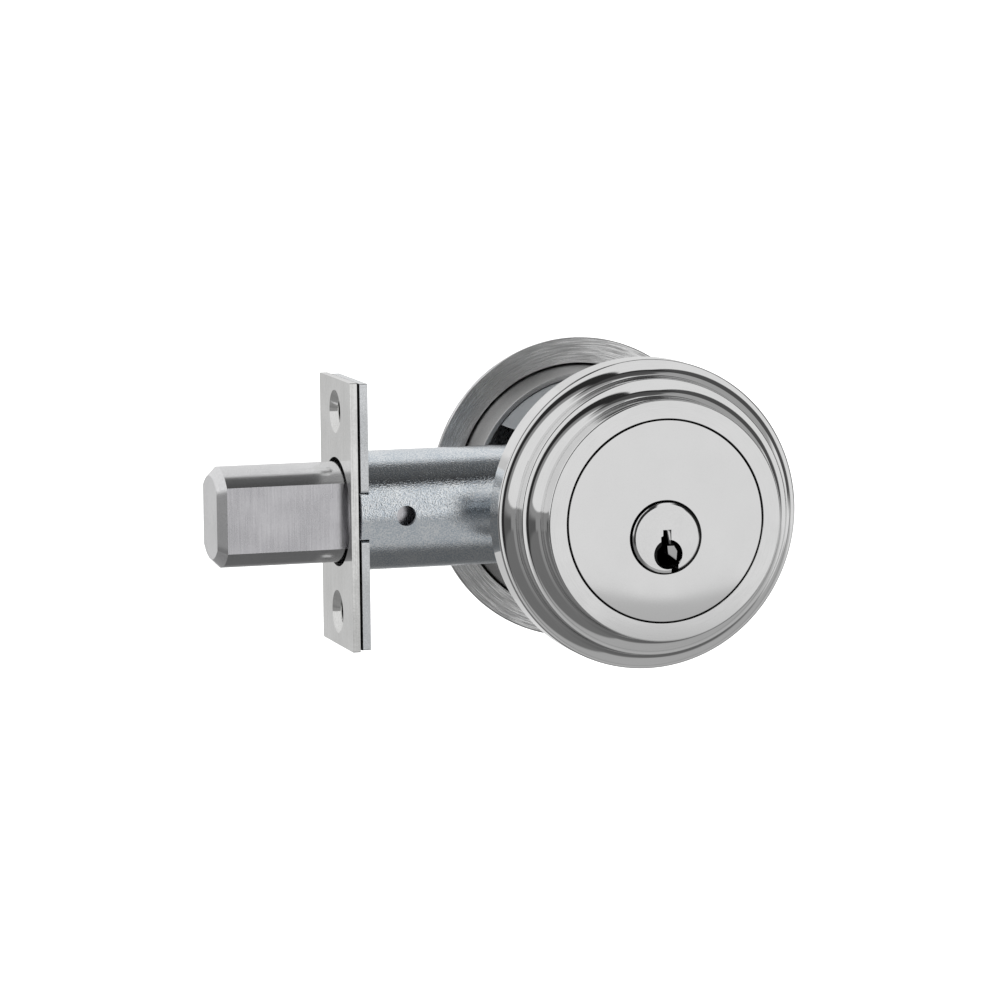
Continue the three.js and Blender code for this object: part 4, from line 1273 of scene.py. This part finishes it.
@dataclass(frozen=True)
class Viewpoint:
    """Where the camera stands, in degrees and millimetres, and its lens."""

    azimuth: float = -16.092
    elevation: float = 7.088
    roll: float = -0.659
    distance: float = 1163.2
    aim: tuple[float, float] = (23.171, 0.276)
    lens: float = 194.17

    def build(self) -> None:
        """Makes the camera and hands it to the scene."""
        a, e, r = (math.radians(v) for v in (self.azimuth, self.elevation, self.roll))
        back = Vector((math.sin(a) * math.cos(e), -math.cos(a) * math.cos(e), math.sin(e)))
        right = Vector((math.cos(a), math.sin(a), 0.0))
        up = back.cross(right)
        level, upright = right * math.cos(r) + up * math.sin(r), up * math.cos(r) - right * math.sin(r)
        target = -(level * self.aim[0] + upright * self.aim[1])
        data = bpy.data.cameras.new("camera")
        data.lens, data.sensor_width = self.lens, 36.0
        data.clip_start, data.clip_end = 0.05, 20.0
        camera = bpy.data.objects.new("camera", data)
        turn = Matrix((level, upright, back)).transposed().to_4x4()
        camera.matrix_world = Matrix.Translation((target + back * self.distance) * MM) @ turn
        bpy.context.scene.collection.objects.link(camera)
        bpy.context.scene.camera = camera


@dataclass(frozen=True)
class Panel:
    """A soft light or a dark flag, far away, that fills a range of directions.

    Azimuth is in degrees from straight out of the key side, positive towards +X, and elevation is above
    the horizon. Soft edges are in degrees, outside the range on each side.
    """

    azimuth: tuple[float, float]
    elevation: tuple[float, float]
    level: float
    soft: tuple[float, float, float] = (8.0, 4.0, 8.0)

    def over(self, level: Value, azimuth: Value, elevation: Value) -> Value:
        """Lays the panel over what is behind it.

        Args:
            level: The light so far.
            azimuth: The direction's azimuth.
            elevation: The direction's elevation.

        Returns:
            The light with this panel in front.
        """
        side, under, above = self.soft
        (left, right), (low, high) = self.azimuth, self.elevation
        mask = azimuth.step(left - side, left) * (1.0 - azimuth.step(right, right + side))
        mask = mask * elevation.step(low - under, low) * (1.0 - elevation.step(high, high + above))
        return level * (1.0 - mask) + mask * self.level


@dataclass(frozen=True)
class Studio:
    """A pale floor under soft light.

    The panels lie one over another, and a later one covers those before it.
    """

    floor_z: float = -0.2
    ground: tuple[float, float] = (0.14, 0.29)
    ceiling: float = 0.32
    panels: tuple[Panel, ...] = (
        # The long softbox on the left, a grey strip at its end, and the dark edge of the table under it.
        Panel((-190, -28), (0.5, 62), 0.80, (14, 1.5, 12)),
        Panel((-20, -12), (0, 60), 0.26, (8, 4, 10)),
        Panel((-58, 4), (-12, -7), 0.10, (14, 4, 4)),
        # The wide grey wall and the low white card on the right.
        Panel((60, 128), (12, 66), 0.38, (10, 8, 10)),
        Panel((44, 84), (-22, 8), 0.80, (5, 10, 6)),
        # Black flags: upright on the right, across the top, and upright beside the camera.
        Panel((34, 56), (-4, 64), 0.08, (4, 5, 8)),
        Panel((-10, 42), (52, 67), 0.03, (10, 5, 5)),
        Panel((-6, 8), (-11, 50), 0.025, (6, 3, 10)),
        # The white card that the flat faces of the key side look at, with a soft and a crisp lower edge.
        Panel((9, 34), (-8.5, 0), 0.50, (2, 5, 1)),
        Panel((11.5, 30), (-8.27, 47), 0.80, (2, 0.3, 5)),
        # Two white walls behind the lock, for the faces that look along the bolt.
        Panel((142, 200), (-16, 60), 0.74, (12, 8, 8)),
        Panel((-200, -150), (-18, 6), 0.60, (10, 8, 2)),
        # Overhead: dark in front, white behind.
        Panel((30, 140), (70, 90), 0.10, (20, 5, 1)),
        Panel((-40, 60), (64, 90), 0.08, (20, 6, 1)),
        Panel((150, 205), (52, 76), 0.72, (14, 10, 4)),
        # The table: dim on the left, pale in front, dark far behind.
        Panel((-80, -2), (-58, -13), 0.17, (12, 12, 3)),
        Panel((6, 50), (-62, -15), 0.42, (8, 14, 3)),
        Panel((60, 180), (-90, -45), 0.13, (20, 1, 20)),
    )

    def floor(self) -> None:
        """A wide pale floor that the camera sees and polished metal doesn't."""
        mesh = bpy.data.meshes.new("floor")
        reach, z = 30.0, self.floor_z
        corners = [(-reach, -reach, z), (reach, -reach, z), (reach, reach, z), (-reach, reach, z)]
        mesh.from_pydata(corners, [], [(0, 1, 2, 3)])
        shader = Shader("pale_floor")
        shader.feed(
            Base_Color=(0.9, 0.9, 0.9, 1.0),
            Roughness=0.9,
            Emission_Color=(1, 1, 1, 1),
            Emission_Strength=1.0,
        )
        mesh.materials.append(shader.material)
        thing = bpy.data.objects.new("floor", mesh)
        thing.visible_glossy = thing.visible_diffuse = False
        bpy.context.scene.collection.objects.link(thing)

    def room(self) -> None:
        """The light all round, as a world whose brightness depends on direction."""
        world = bpy.data.worlds.new("white_room")
        bpy.context.scene.world = world
        world.use_nodes = True
        world.node_tree.nodes.clear()
        board = Board(world.node_tree)
        way = board.node("ShaderNodeTexCoord", output="Generated")
        split = board.node("ShaderNodeSeparateXYZ", inputs={0: way}).socket.node
        x, y, z = (Value(board, split.outputs[i]) for i in range(3))
        azimuth = x.math("ARCTAN2", y * -1.0) * DEGREES
        elevation = z.math("ARCSINE") * DEGREES
        low, high = self.ground
        level = elevation.step(-90.0, -15.0) * (high - low) + low
        sky = elevation.step(-1.0, 1.0)
        level = level * (1.0 - sky) + sky * self.ceiling
        for panel in self.panels:
            level = panel.over(level, azimuth, elevation)
        seen = board.node("ShaderNodeLightPath", output="Is Camera Ray")
        level = level * (1.0 - seen) + seen
        light = board.node("ShaderNodeBackground", inputs={"Color": (1, 1, 1, 1), "Strength": level})
        board.node("ShaderNodeOutputWorld", inputs={0: light})

    def build(self) -> None:
        """Makes the floor and the light."""
        self.floor()
        self.room()
        bpy.context.scene.view_settings.view_transform = "Standard"


def main() -> None:
    """Builds the lock, then the stage, the light and the camera."""
    logging.basicConfig(level=logging.INFO, format="%(name)s: %(message)s")
    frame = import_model()
    shop = Workshop(frame, Finishes())
    for part in (OutsideTrim(), EdgeWork(), InsideTrim()):
        LOG.info("building %s", type(part).__name__)
        part.build(shop)
    Studio().build()
    Viewpoint().build()


if __name__ == "__main__":
    main()
